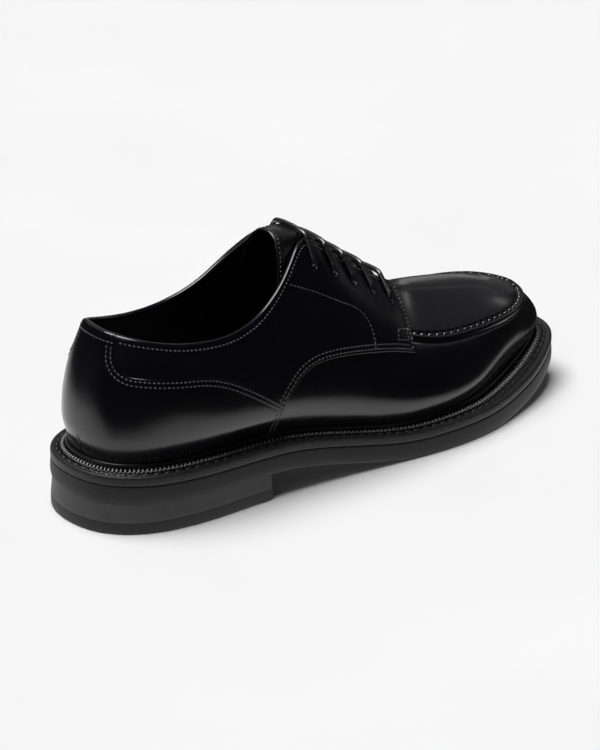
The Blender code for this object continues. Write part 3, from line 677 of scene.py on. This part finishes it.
def make_welt():
    """Strip round the shoe: rounded rim, stitch groove, ribbed bead and a lip against the upper."""
    ribs = int(RIM_TOTAL / RIB)
    places = np.linspace(0, RIM_TOTAL, ribs * RIB_COLUMNS + 1)[:-1]
    profile = np.array(WELT_SIDE)
    across = np.clip((profile[:, 0] - BEAD[0]) / (BEAD[1] - BEAD[0]), 0, 1)
    on_bead = np.sin(np.pi * across) ** BEAD_POWER
    on_bead[profile[:, 1] < BEAD_FOOT] = 0
    points = []
    for k, u in enumerate(places):
        share = SHARE_AT(u)[0]
        groove = RIB_DEPTH * (1 - abs(np.cos(np.pi * k / RIB_COLUMNS)))
        wall = wall_column(u)[0](lip_distance(u))
        _, out = rim(u)
        column = []
        for (inset, height), bead in zip(profile, on_bead):
            place, _ = rim(u, inset * share + RIB_LEAN * bead * groove)
            column.append((*place, deck(place[1]) + height - bead * groove))
        last = np.array(column[-1])
        behind, below, dip = LIP_INNER
        inner = np.array([*(wall[:2] - out * behind), last[2] - below])
        further, down = LIP_END
        column += [0.5 * (last + inner) - (0, 0, dip), inner, inner - (*(out * further), down)]
        points.append(column)
    points = np.array(points)
    columns, rows, _ = points.shape
    welt = make_piece("welt_dressed", points.reshape(-1, 3), grid(columns, rows, closed=True), WELT_EDGE,
                      "welt_leather", ["welt"], SHARP_WELT)
    welt.data.materials.append(WELT_BEAD)
    welt.data.materials.append(WELT_PAINTED_HIGHLIGHT)
    index = np.tile((np.arange(rows - 1) >= BEAD_FROM).astype(np.int32), (columns, 1))
    # The ribs' tops get the pale material: a painted highlight
    painted_highlight_rows = np.flatnonzero(np.minimum(on_bead[1:], on_bead[:-1]) > PAINTED_HIGHLIGHT_FROM)
    for k in (0, RIB_COLUMNS - 1):
        index[k::RIB_COLUMNS, painted_highlight_rows] = 2
    welt.data.polygons.foreach_set("material_index", index.ravel())
    line = []
    inset, height = WELT_ROW
    for u in np.linspace(0, RIM_TOTAL, 1500):
        place, _ = rim(u, inset * SHARE_AT(u % RIM_TOTAL)[0])
        line.append((*place, deck(place[1]) + height))
    ups = np.tile((0.0, 0.0, 1.0), (len(line), 1))
    return stitch_row(np.array(line), ups, *WELT_STITCH)


# Stitches

def stitch_row(line, normals, pitch=STITCH, length=STITCH_LENGTH, radius=THREAD):
    """Points and faces of a row of stitches along a line."""
    run = chord_lengths(line)
    count = max(int(run[-1] / pitch), 1)
    centres = (np.arange(count) + 0.5) * run[-1] / count
    turn = np.linspace(0, 2 * np.pi, STITCH_SIDES, endpoint=False)

    def at(values, s):
        return np.array([np.interp(s, run, values[:, k]) for k in range(3)])

    points, faces = [], []
    for s in centres:
        along = unit(at(line, s + STITCH_STEP) - at(line, s - STITCH_STEP))
        up = at(normals, s)
        up = unit(up - along * (up @ along))
        side = np.cross(along, up)
        here = at(line, s)
        faces += ring_faces(len(STITCH_SHAPE), STITCH_SIDES, len(points))
        for shift, height, wide in STITCH_SHAPE:
            middle = here + along * shift * length + up * height * radius
            points += [middle + radius * wide * (np.cos(a) * side + np.sin(a) * up) for a in turn]
    return np.array(points), faces


def tree_of(*pieces):
    shapes = []
    for piece in pieces:
        places = np.array([v.co for v in piece.data.vertices]) / METRE + (*MIDDLE, 0.0)
        shapes.append((places, [list(f.vertices) for f in piece.data.polygons]))
    places, faces = joined(shapes)
    return BVHTree.FromPolygons([Vector(p) for p in places], faces)


def on_face(line, tree, clear=6.0, deep=3.0):
    """Places and directions on a piece's outer face, straight out from a line on the wall."""
    places, normals = [], []
    for p in dense(line, 0.6):
        out = wall_tree.find_nearest(Vector(p))[1]
        spot, normal, _, _ = tree.ray_cast(Vector(p) + out * clear, -out, clear + deep)
        if spot is not None:
            places.append(spot)
            normals.append(normal)
    return np.array(places), np.array(normals)


def laid_row(line, tree, *sizes):
    """A row of stitches on a piece, over a line on the wall."""
    return stitch_row(*on_face(line, tree), *sizes)


# Upper

def shell_places(back, front):
    """Columns round the upper, lateral side first, paired across the apron."""
    sides = []
    for side in (1, -1):
        heel = 0.0 if side > 0 else RIM_TOTAL
        throat = rim_place(FACING_FOOT, side)
        sides.append(spread((heel, throat, back), (throat, RIM_TOE, front)))
    return np.concatenate([sides[0], sides[1][-2:0:-1]])


def seam_relief(s, run):
    """Raised seam of the apron: s is the distance past it towards the crown, run the way along it."""
    added, shift, half = RIDGE_FORM
    ridge = (RIDGE + added) * np.exp(-np.abs((s + shift) / half) ** 3)
    depth, below, half = SEAM_FOLD
    fold = depth * bell(s + below, half)
    above, half, least = SEAM_PULL
    dash = smooth(0.5 + 1.3 * np.cos(2 * np.pi * run / APRON_STITCH[0]))
    return ridge - fold - (least + (1 - least) * dash) * bell(s - above, half)


def bridge(start, start_way, end, end_way, count, crown=CROWN):
    """Curve across the throat or the crown from one top line to the other."""
    reach = np.linalg.norm(end - start) * crown
    t = np.linspace(0, 1, count + 1)[:, None]
    a = start + start_way * reach
    b = end + end_way * reach
    return (1 - t) ** 3 * start + 3 * t * (1 - t) ** 2 * a + 3 * t * t * (1 - t) * b + t ** 3 * end


def shell(back, front, rows, strip, offset):
    """Points and faces of the wall, closed over the apron. rows gives a section's distances."""
    places = shell_places(back, front)
    distances = np.array([rows(u) for u in places])
    points, normals = surface(places, distances)
    points = points + normals * offset(places, distances)[..., None]
    columns, count, _ = points.shape
    faces = grid(columns, count, closed=True).tolist()
    flat = list(points.reshape(-1, 3))
    half = back + front
    crossings = []
    for c in range(back, half):
        other = columns - c
        a, b = points[c], points[other]
        ways = [unit(3 * p[-1] - 4 * p[-2] + p[-3]) for p in (a, b)]
        line = bridge(a[-1], ways[0], b[-1], ways[1], strip)
        first = len(flat)
        flat += list(line[1:-1])
        ids = [*range(c * count, (c + 1) * count), *range(first, first + strip - 1),
               *range((other + 1) * count - 1, other * count - 1, -1)]
        section = np.array([flat[i] for i in ids])
        low, high = count - CROWN_BLEND, len(ids) - count + CROWN_BLEND
        for _ in range(CROWN_PASSES):
            middle = (section[:-2] + 2 * section[1:-1] + section[2:]) / 4
            section[low:high] = middle[low - 1:high - 1]
        for i in range(low, high):
            flat[ids[i]] = section[i]
        crossings.append(ids[count - 1:len(ids) - count + 1])
    for near, far in zip(crossings, crossings[1:]):
        faces += [[near[k], far[k], far[k + 1], near[k + 1]] for k in range(strip)]
    tip = half * count + count - 1
    faces += [[crossings[-1][k], tip, crossings[-1][k + 1]] for k in range(strip)]
    return np.array(flat), faces


def make_upper():
    seam_places = np.linspace(0, RIM_TOTAL, 1200)
    seam_run = chord_lengths(SHOULDER_AT(seam_places))

    def rows(u):
        _, shoulder, top = wall_column(u)
        seam = np.clip(shoulder, SEAM_CLEAR[0], top - SEAM_CLEAR[1])
        low, high = seam - SEAM_BAND, seam + SEAM_BAND
        return spread((0.0, low, 14), (low, high, 28), (high, top, 10))

    def relief(places, distances):
        heights = np.zeros_like(distances)
        for i, u in enumerate(places % RIM_TOTAL):
            ahead = smooth((RIM(u)[1] - FACING_FOOT + SEAM_START) / SEAM_START)
            if ahead > 0:
                run = np.interp(u, seam_places, seam_run)
                heights[i] = ahead * seam_relief(distances[i] - wall_column(u)[1], run)
        return heights

    points, faces = shell(90, 330, rows, 16, relief)
    return make_piece("upper_dressed", points, faces, POLISHED, "polished_leather", ["upper"],
                      SHARP_LEATHER)


def make_lining():
    def rows(u):
        return np.linspace(1.0, top_distance(u) - 1.0, 40)

    def inward(places, distances):
        heights = np.full_like(distances, -WALL)
        for i, u in enumerate(places):
            x, y = RIM(u % RIM_TOTAL)
            for station, up, turn, depth in LINING_CREASES:
                sine, cosine = np.sin(np.radians(turn)), np.cos(np.radians(turn))
                along = (y - station) * cosine + (distances[i] - up) * sine
                across = (distances[i] - up) * cosine - (y - station) * sine
                heights[i] += (x < 0) * depth * bell(across, CREASE_WIDTH) * bell(along, CREASE_LENGTH)
        return heights

    points, faces = shell(130, 60, rows, 8, inward)
    make_piece("lining", points, [f[::-1] for f in faces], LINING, "polished_leather")


def rolled_top(points, normals, laid):
    """Rows over a folded top edge and down inside: from the laid-on face to the lining."""
    top, before, normal = points[:, -1], points[:, -2], normals[:, -1]
    up = unit(top - before)
    up = unit(up - normal * (up * normal).sum(-1, keepdims=True))
    base = top - normal * laid
    middle = (laid - WALL) / 2
    radius = (laid + WALL) / 2
    rows = []
    for a in np.linspace(0, np.pi, 11)[1:]:
        rows.append(base + normal * (middle + radius * np.cos(a)) + up * (radius * np.sin(a)))
    rows += [base - normal * WALL - up * down for down in TURNED_IN]
    return np.stack(rows, axis=1)


def make_quarter(name, side):
    """Quarter with its facing: folded edges, punched eyelets and a rolled top line."""
    back = rim_place(COUNTER_EDGE - QUARTER_UNDER, side)
    corner = rim_place(FACING_TOP - 2, side)
    front = rim_place(FACING_FOOT, side)
    joint = rim_place(JOINT, side)
    marks = (back, joint - side * 4, corner, front - side * 6, front - side * 2 * BORDER, front)
    places = spread(*zip(marks, marks[1:], (60, 26, 130, 16, 6)))[::side]
    distances = []
    tuck, passage = QUARTER_TUCK
    for u in places:
        top = top_distance(u) - ROLL
        low = edge_distance(u) - tuck * smooth((JOINT - RIM(u)[1]) / passage)
        fine = low + min(5.0, 0.2 * (top - low))
        finest = low + 0.24 * (fine - low)
        facing = top - min(21.0, 0.5 * (top - low))
        rows = (low, finest, fine, facing, top)
        distances.append(spread(*zip(rows, rows[1:], (6, 8, 16, 44))))
    points, normals = surface(places, np.array(distances))
    edge_places = np.linspace(joint, front, 120)
    lower = line_on(edge_places, [edge_distance(u) for u in edge_places])
    upright = line_on([front] * 60, np.linspace(edge_distance(front), top_distance(front) + 4, 60))
    away = border_distance(points, dense(np.concatenate([lower, upright])))
    lift = folded(away, LAID) - dented(away, QUARTER_ROWS)
    radius, depth, start, width = HOLE
    rim_height, rim_away, rim_half = HOLE_RIM
    for y in eyelet_stations():
        apart = np.linalg.norm(points - eyelet(y, side), axis=-1) - radius
        lift -= depth * smooth((start - apart) / width)
        lift += rim_height * bell(apart - rim_away, rim_half)
    outer = points + normals * lift[..., None]
    whole = np.concatenate([outer, rolled_top(outer, normals, LAID)], axis=1)
    columns, rows, _ = whole.shape
    piece = make_piece(name + "_dressed", whole.reshape(-1, 3), grid(columns, rows), POLISHED,
                       "overlay_leather", [name], SHARP_LEATHER)
    return piece, lower, upright


def counter_half(side):
    """The counter's tab edge, its front end, and columns from the heel's back to that end."""
    start = 0.0 if side > 0 else RIM_TOTAL
    tab, end = [rim_place(y, side) - start for y in (COUNTER_EDGE, JOINT)]
    marks = [3 * side, *[tab + side * d for d in (-5, 0, 0.02, 5, 18)],
             *[end - side * d for d in (5, 2 * BORDER, 0)]]
    return tab, end, spread(*zip(marks, marks[1:], (8, 20, 1, 24, 24, 44, 10, 6)))


def make_counter():
    """Counter round the heel, with its tab up to the collar."""
    halves = [counter_half(side) for side in (1, -1)]
    (tab, _, lateral), (back_tab, _, medial) = halves
    places = np.concatenate([medial[::-1], np.linspace(-3, 3, 25)[1:-1], lateral])
    tall = (places >= back_tab - 1e-6) & (places <= tab + 1e-6)
    distances = []
    for u, up in zip(places, tall):
        low = lip_distance(u) - 1.0
        high = top_distance(u) - ROLL if up else edge_distance(u)
        fold = high - 2 * BORDER
        level = edge_distance(u, cornered=False) - 5.5
        marks = (low, low + 8, level, fold, high)
        distances.append(spread(*zip(marks, marks[1:], (8, 26, 22, 6))))
    distances = np.array(distances)
    points, normals = surface(places, distances)
    borders = []
    for edge, end, _ in halves:
        run = np.linspace(edge, end, 120)
        over = line_on(run, [edge_distance(u) for u in run])
        upright = line_on([edge] * 40, np.linspace(top_distance(edge) + 3, edge_distance(edge), 40))
        front = line_on([end] * 40, np.linspace(edge_distance(end), 0, 40))
        borders.append(np.concatenate([upright, over[1:], front[1:]]))
    away = border_distance(points, dense(np.concatenate(borders)))
    above = distances - distances[:, :1]
    start, length, thin = COUNTER_FOOT
    thickness = thin + (LAPPED - thin) * smooth((above - start) / length)
    height, fade, depth, half = NOTCH
    lift = folded(away, 1.0) * thickness - dented(away, COUNTER_ROWS)
    lift -= depth * smooth((height - above) / fade) * bell(points[..., 0], half)
    outer = points + normals * lift[..., None]
    columns, rows, _ = outer.shape
    first, last = np.flatnonzero(tall)[[0, -1]]
    roll = rolled_top(outer[first:last + 1], normals[first:last + 1], LAPPED)
    rim_rows = np.concatenate([outer[first:last + 1, -1:], roll], axis=1)
    shape = joined([(outer.reshape(-1, 3), grid(columns, rows).tolist()),
                    (rim_rows.reshape(-1, 3), grid(*rim_rows.shape[:2]).tolist())])
    piece = make_piece("counter_dressed", *shape, POLISHED, "overlay_leather", ["counter"], SHARP_LEATHER)
    return piece, borders


# Throat

def throat_section(lateral, medial, down, crown=CROWN, steps=10):
    """Points over the instep: down one facing, across the throat, and down the other."""
    sides = []
    for u in (lateral, medial):
        curve, _, top = wall_column(u)
        sides.append(curve(np.linspace(top - down, top, steps + 1)))
    near, far = sides
    ways = [unit(p[-1] - p[-2]) for p in sides]
    across = bridge(near[-1], ways[0], far[-1], ways[1], 2 * steps, crown)
    return np.concatenate([near[:-1], across, far[-2::-1]])


def lattice_normals(points):
    return unit(np.cross(np.gradient(points, axis=0), np.gradient(points, axis=1)))


def facing_place(y, side):
    """Place on the rim of the section whose facing edge is at y."""
    places = np.linspace(rim_place(FACING_TOP, side), rim_place(FACING_FOOT, side), 200)
    return np.interp(y, TOP_AT(places)[:, 1], places)


def eyelet(y, side):
    """Middle of the eyelet in that section."""
    curve, _, top = wall_column(facing_place(y, side))
    return curve(top - EYELET_INSET)


def eyelet_stations():
    """Facing positions of the eyelets, equally spaced along their own row."""
    fine = np.linspace(EYELETS_FROM, EYELETS_TO, 60)
    run = chord_lengths([eyelet(y, 1) for y in fine])
    return np.interp(np.linspace(0, run[-1], EYELETS), run, fine)


def make_tongue():
    """Padded flap under the facings, with an arched and stitched upper edge."""
    places = []
    for side in (1, -1):
        throat = rim_place(FACING_FOOT, side)
        under = throat + (RIM_TOE - throat) * TONGUE_UNDER
        places.append(np.linspace(rim_place(FACING_TOP, side), under, TONGUE_SECTIONS))
    sections, rises = [], []
    for lateral, medial in zip(*places):
        rise = smooth((FACING_FOOT - RIM(lateral)[1]) / TONGUE_RUN)
        crown = CROWN + (LACE_CROWN - CROWN) * rise
        sections.append(throat_section(lateral, medial, TONGUE_SIDE, crown, TONGUE_STEPS))
        rises.append(rise)
    points = np.array(sections)
    across = np.clip((np.arange(points.shape[1]) - TONGUE_STEPS) / (2 * TONGUE_STEPS), 0, 1)
    fill = TONGUE_FILL * np.outer(rises, smooth(np.minimum(across, 1 - across) / TONGUE_EASE))
    points = points + lattice_normals(points) * (fill - WALL - 2 * GAP)[..., None]
    corner = points[0]
    run = chord_lengths(corner)
    knots = chord_lengths(TONGUE_EDGE)
    edge = curve_through(knots / knots[-1], TONGUE_EDGE)(run / run[-1])
    shares = spread((0, 0.12, 6), (0.12, 0.4, 8), (0.4, 1, 8))[:-1]
    face = np.concatenate([[edge + (corner - edge) * share for share in shares], points])
    normals = lattice_normals(face)
    middle = face - normals * (TONGUE / 2)
    border = dense(np.concatenate([middle[::-1, 0], middle[0], middle[:, -1]]))
    away = border_distance(middle, border)
    depth, inset, width = TONGUE_DENT
    half = TONGUE / 2 * rounded(away, TONGUE_BORDER) - depth * bell(away - inset, width)
    half = np.clip(half, 0, None)
    over = middle + normals * half[..., None]
    under = middle - normals * half[..., None]
    faces = grid(*middle.shape[:2])
    shape = joined([(over.reshape(-1, 3), faces.tolist()),
                    (under.reshape(-1, 3), faces[:, ::-1].tolist())])
    make_piece("tongue_dressed", *shape, TONGUE_LEATHER, "tongue_leather", ["tongue"], SHARP_LEATHER)
    return stitch_row(over[TONGUE_ROW], normals[TONGUE_ROW])


def make_laces():
    """One lace in five straight bars, each down through its two eyelets."""
    turn = np.linspace(0, 2 * np.pi, LACE_SIDES, endpoint=False)
    for k, y in enumerate(eyelet_stations()):
        nearby = []
        for beside in (y - 1, y, y + 1):
            places = [facing_place(beside, side) for side in (1, -1)]
            nearby.append(throat_section(*places, EYELET_INSET, LACE_CROWN))
        normals = lattice_normals(np.array(nearby))[1]
        base = nearby[1]
        path = list((base + normals * (LAID + LACE_RADIUS - LACE_SINK))[3:-3])
        for end, inner in ((0, 1), (-1, -2)):
            way = unit(base[inner] - base[end])
            rise = [base[end] + normals[end] * up + way * along for up, along in LACE_ENDS]
            path = rise + path if end == 0 else path + rise[::-1]
        knots = chord_lengths(path)
        line = curve_through(knots, path)(np.linspace(0, knots[-1], int(knots[-1] / LACE_STEP)))
        along = unit(np.gradient(line, axis=0))
        side = unit(np.cross(along, (0.0, 1.0, 0.2)))
        other = np.cross(along, side)
        points = []
        for p, a, b, s in zip(line, side, other, chord_lengths(line)):
            twist = 4 * np.pi * s / BRAID_PITCH
            ways = [np.cos(BRAID_STRANDS * turn + twist), np.cos(BRAID_STRANDS * turn - twist)]
            radius = LACE_RADIUS * (BRAID[0] + BRAID[1] * sum(ways))
            points.append(p + radius[:, None] * (np.cos(turn)[:, None] * a + np.sin(turn)[:, None] * b))
        count = len(points) * LACE_SIDES
        faces = ring_faces(len(points), LACE_SIDES)
        faces += [list(range(LACE_SIDES))[::-1], list(range(count - LACE_SIDES, count))]
        make_piece(f"lace_{k + 1}", np.concatenate(points), faces, LACE, "waxed_lace",
                   [f"lace_bar_{k + 1}"], SHARP_LEATHER)


# Rows of stitches

def inset_line(border, whole, inset, side):
    """Line on the wall at a distance inside a leather's border."""
    line = dense(border, 0.5)
    ways = unit(np.gradient(line, axis=0))
    kept = []
    for p, way in zip(line, ways):
        normal = np.array(wall_tree.find_nearest(Vector(p))[1])
        kept.append(p + side * unit(np.cross(normal, way)) * inset)
    kept = np.array(kept)
    return kept[border_distance(kept, dense(whole)) > inset - 0.1]


def height_line(rows, side):
    """Line on one side through places given by rim_y and height."""
    knots = chord_lengths(rows)
    stations, heights = curve_through(knots, rows)(np.linspace(0, knots[-1], 80)).T
    places = rim_place(stations, side)
    return line_on(places, [distance_at_height(u, z) for u, z in zip(places, heights)])


def straight_line(rows, side):
    """The same with straight runs from place to place."""
    runs = [height_line(pair, side) for pair in zip(rows, rows[1:])]
    return np.concatenate(runs)


def below_top(places, down):
    return line_on(places, [top_distance(u) - down for u in places])


def quarter_rows(piece, lower, upright, side):
    tree = tree_of(piece)
    whole = np.concatenate([lower, upright])
    collar = np.linspace(rim_place(COUNTER_EDGE + 2, side), rim_place(FACING_FOOT - 2, side), 160)
    lines = [inset_line(lower, whole, inset, side) for inset in QUARTER_ROWS]
    lines += [inset_line(upright[:-8], whole, FRONT_ROW, side)]
    lines += [below_top(collar, COLLAR_ROW), height_line(EYESTAY, side), straight_line(BAR_TACK, side)]
    return [laid_row(line, tree) for line in lines]


def counter_rows():
    """Rows along the counter's edges, tacks where it meets the quarters, stitches across its notch."""
    tree = tree_of(counter)
    tab = np.linspace(rim_place(COUNTER_EDGE + 3, -1) - RIM_TOTAL, rim_place(COUNTER_EDGE + 3, 1), 60)
    collar = dense(below_top(tab, 0.0))
    lines = [below_top(tab[4:-4], TAB_ROW)]
    for border, side in zip(counter_borders, (-1, 1)):
        for inset in COUNTER_ROWS:
            line = inset_line(border, border, inset, side)
            lines.append(line[border_distance(line, collar) > COLLAR_ROW + 2])
    rows = [laid_row(line, tree) for line in lines]
    both = tree_of(counter, *[piece for piece, _, _ in quarters])
    rows += [laid_row(straight_line(JOINT_TACK, side), both, *TACK_STITCH) for side in (1, -1)]
    places = (-NOTCH_REACH, 0.0, NOTCH_REACH)
    lines = [line_on(places, [lip_distance(0.0) + up] * 3) for up in NOTCH_ROWS]
    return rows + [laid_row(line, tree, *NOTCH_STITCH) for line in lines]


def apron_row():
    places = np.linspace(*[rim_place(FACING_FOOT + 1, side) for side in (1, -1)], 300)
    line = line_on(places, [wall_column(u)[1] + APRON_ROW for u in places])
    return laid_row(line, wall_tree, *APRON_STITCH)


# Camera, floor and light

def aimed(name, data, azimuth, elevation, about=(*MIDDLE, 0.0), distance=0.0):
    """An object that looks at a point from a direction given in degrees."""
    turn, rise = np.radians((azimuth, elevation))
    back = Vector((np.sin(turn) * np.cos(rise), np.cos(turn) * np.cos(rise), np.sin(rise)))
    place = in_metres(np.array(about) + np.array(back) * distance)
    made = put(name, data)
    made.matrix_world = Matrix.LocRotScale(Vector(place), back.to_track_quat("Z", "Y"), None)
    return made


def make_camera():
    camera = bpy.data.cameras.new("camera")
    camera.sensor_fit = "VERTICAL"
    camera.sensor_height = SENSOR
    camera.lens = LENS
    camera.clip_end = FAR
    bpy.context.scene.camera = aimed("camera", camera, AZIMUTH, ELEVATION, AIM, DISTANCE)


def make_floor():
    floor = bpy.data.meshes.new("floor")
    corners = [(-1, -1), (1, -1), (1, 1), (-1, 1)]
    floor.from_pydata([(x * FLOOR_HALF, y * FLOOR_HALF, 0) for x, y in corners], [], [(0, 1, 2, 3)])
    floor.materials.append(material("floor", (FLOOR_GREY,) * 3, 0.8, level=0.0, mottle=(6, 0.02)))
    ground = put("floor", floor)
    ground.visible_glossy = False


def make_glow():
    """Card that only reflections see: the pale floor near the shoe, fading out away from it."""
    places = np.linspace(0, RIM_TOTAL, 121)[:-1]
    share = spread((-0.2, 0.0, 2), (0.0, 1.0, 18))
    points = []
    for u in places:
        place, out = rim(u)
        near = np.interp(place[1], *GLOW_NEAR)
        reach = near + (GLOW_FAR - near) * smooth((1 + GLOW_TURN) * out @ GLOW_WAY - GLOW_TURN)
        points += [(*rim(u, -d)[0], GLOW_HEIGHT) for d in share * reach]
    glow = GLOW * (1 - smooth((share - GLOW_FADE) / (1 - GLOW_FADE)))
    mesh = bpy.data.meshes.new("floor_glow")
    mesh.from_pydata(in_metres(points), [], grid(len(places), len(share), closed=True).tolist())
    mesh.attributes.new("glow", "FLOAT", "POINT").data.foreach_set("value", np.tile(glow, len(places)))
    made = bpy.data.materials.new("floor_glow")
    made.use_nodes = True
    tree = made.node_tree
    light = node(tree, "ShaderNodeEmission")
    level = node(tree, "ShaderNodeAttribute", attribute_name="glow")
    link(tree, level, "Fac", light, "Strength")
    link(tree, light, "Emission", tree.nodes["Material Output"], "Surface")
    mesh.materials.append(made)
    card = put("floor_glow", mesh)
    card.visible_camera = card.visible_diffuse = card.visible_shadow = card.visible_transmission = False


def make_lights():
    for name, azimuth, elevation, width, strength in LIGHTS:
        light = bpy.data.lights.new(name, "SUN")
        light.angle = np.radians(width)
        light.energy = strength
        aimed(name, light, azimuth, elevation)
    world = bpy.data.worlds.new("studio")
    world.use_nodes = True
    fill(world.node_tree.nodes["Background"], Color=(1.0, 1.0, 1.0, 1.0), Strength=WORLD)
    bpy.context.scene.world = world
    bpy.context.scene.view_settings.view_transform = "Standard"


make_camera()
make_floor()
make_glow()
make_lights()
make_sole()
welt_rows = make_welt()
upper = make_upper()
wall_tree = tree_of(upper)
make_lining()
quarters = [make_quarter("quarter_lateral", 1), make_quarter("quarter_medial", -1)]
counter, counter_borders = make_counter()
tongue_rows = make_tongue()
make_laces()
for (piece, lower, upright), side in zip(quarters, (1, -1)):
    rows = quarter_rows(piece, lower, upright, side)
    make_piece(piece.name.replace("_dressed", "_stitches"), *joined(rows), THREAD_WITH_PAINTED_SHEEN, "overlay_leather")
make_piece("counter_stitches", *joined(counter_rows()), THREAD_WITH_PAINTED_SHEEN, "overlay_leather")
make_piece("apron_stitches", *apron_row(), LACE, "polished_leather")
make_piece("tongue_stitches", *tongue_rows, THREAD_WITH_PAINTED_SHEEN, "tongue_leather")
make_piece("welt_stitches", *welt_rows, WELT_THREAD, "welt_leather")
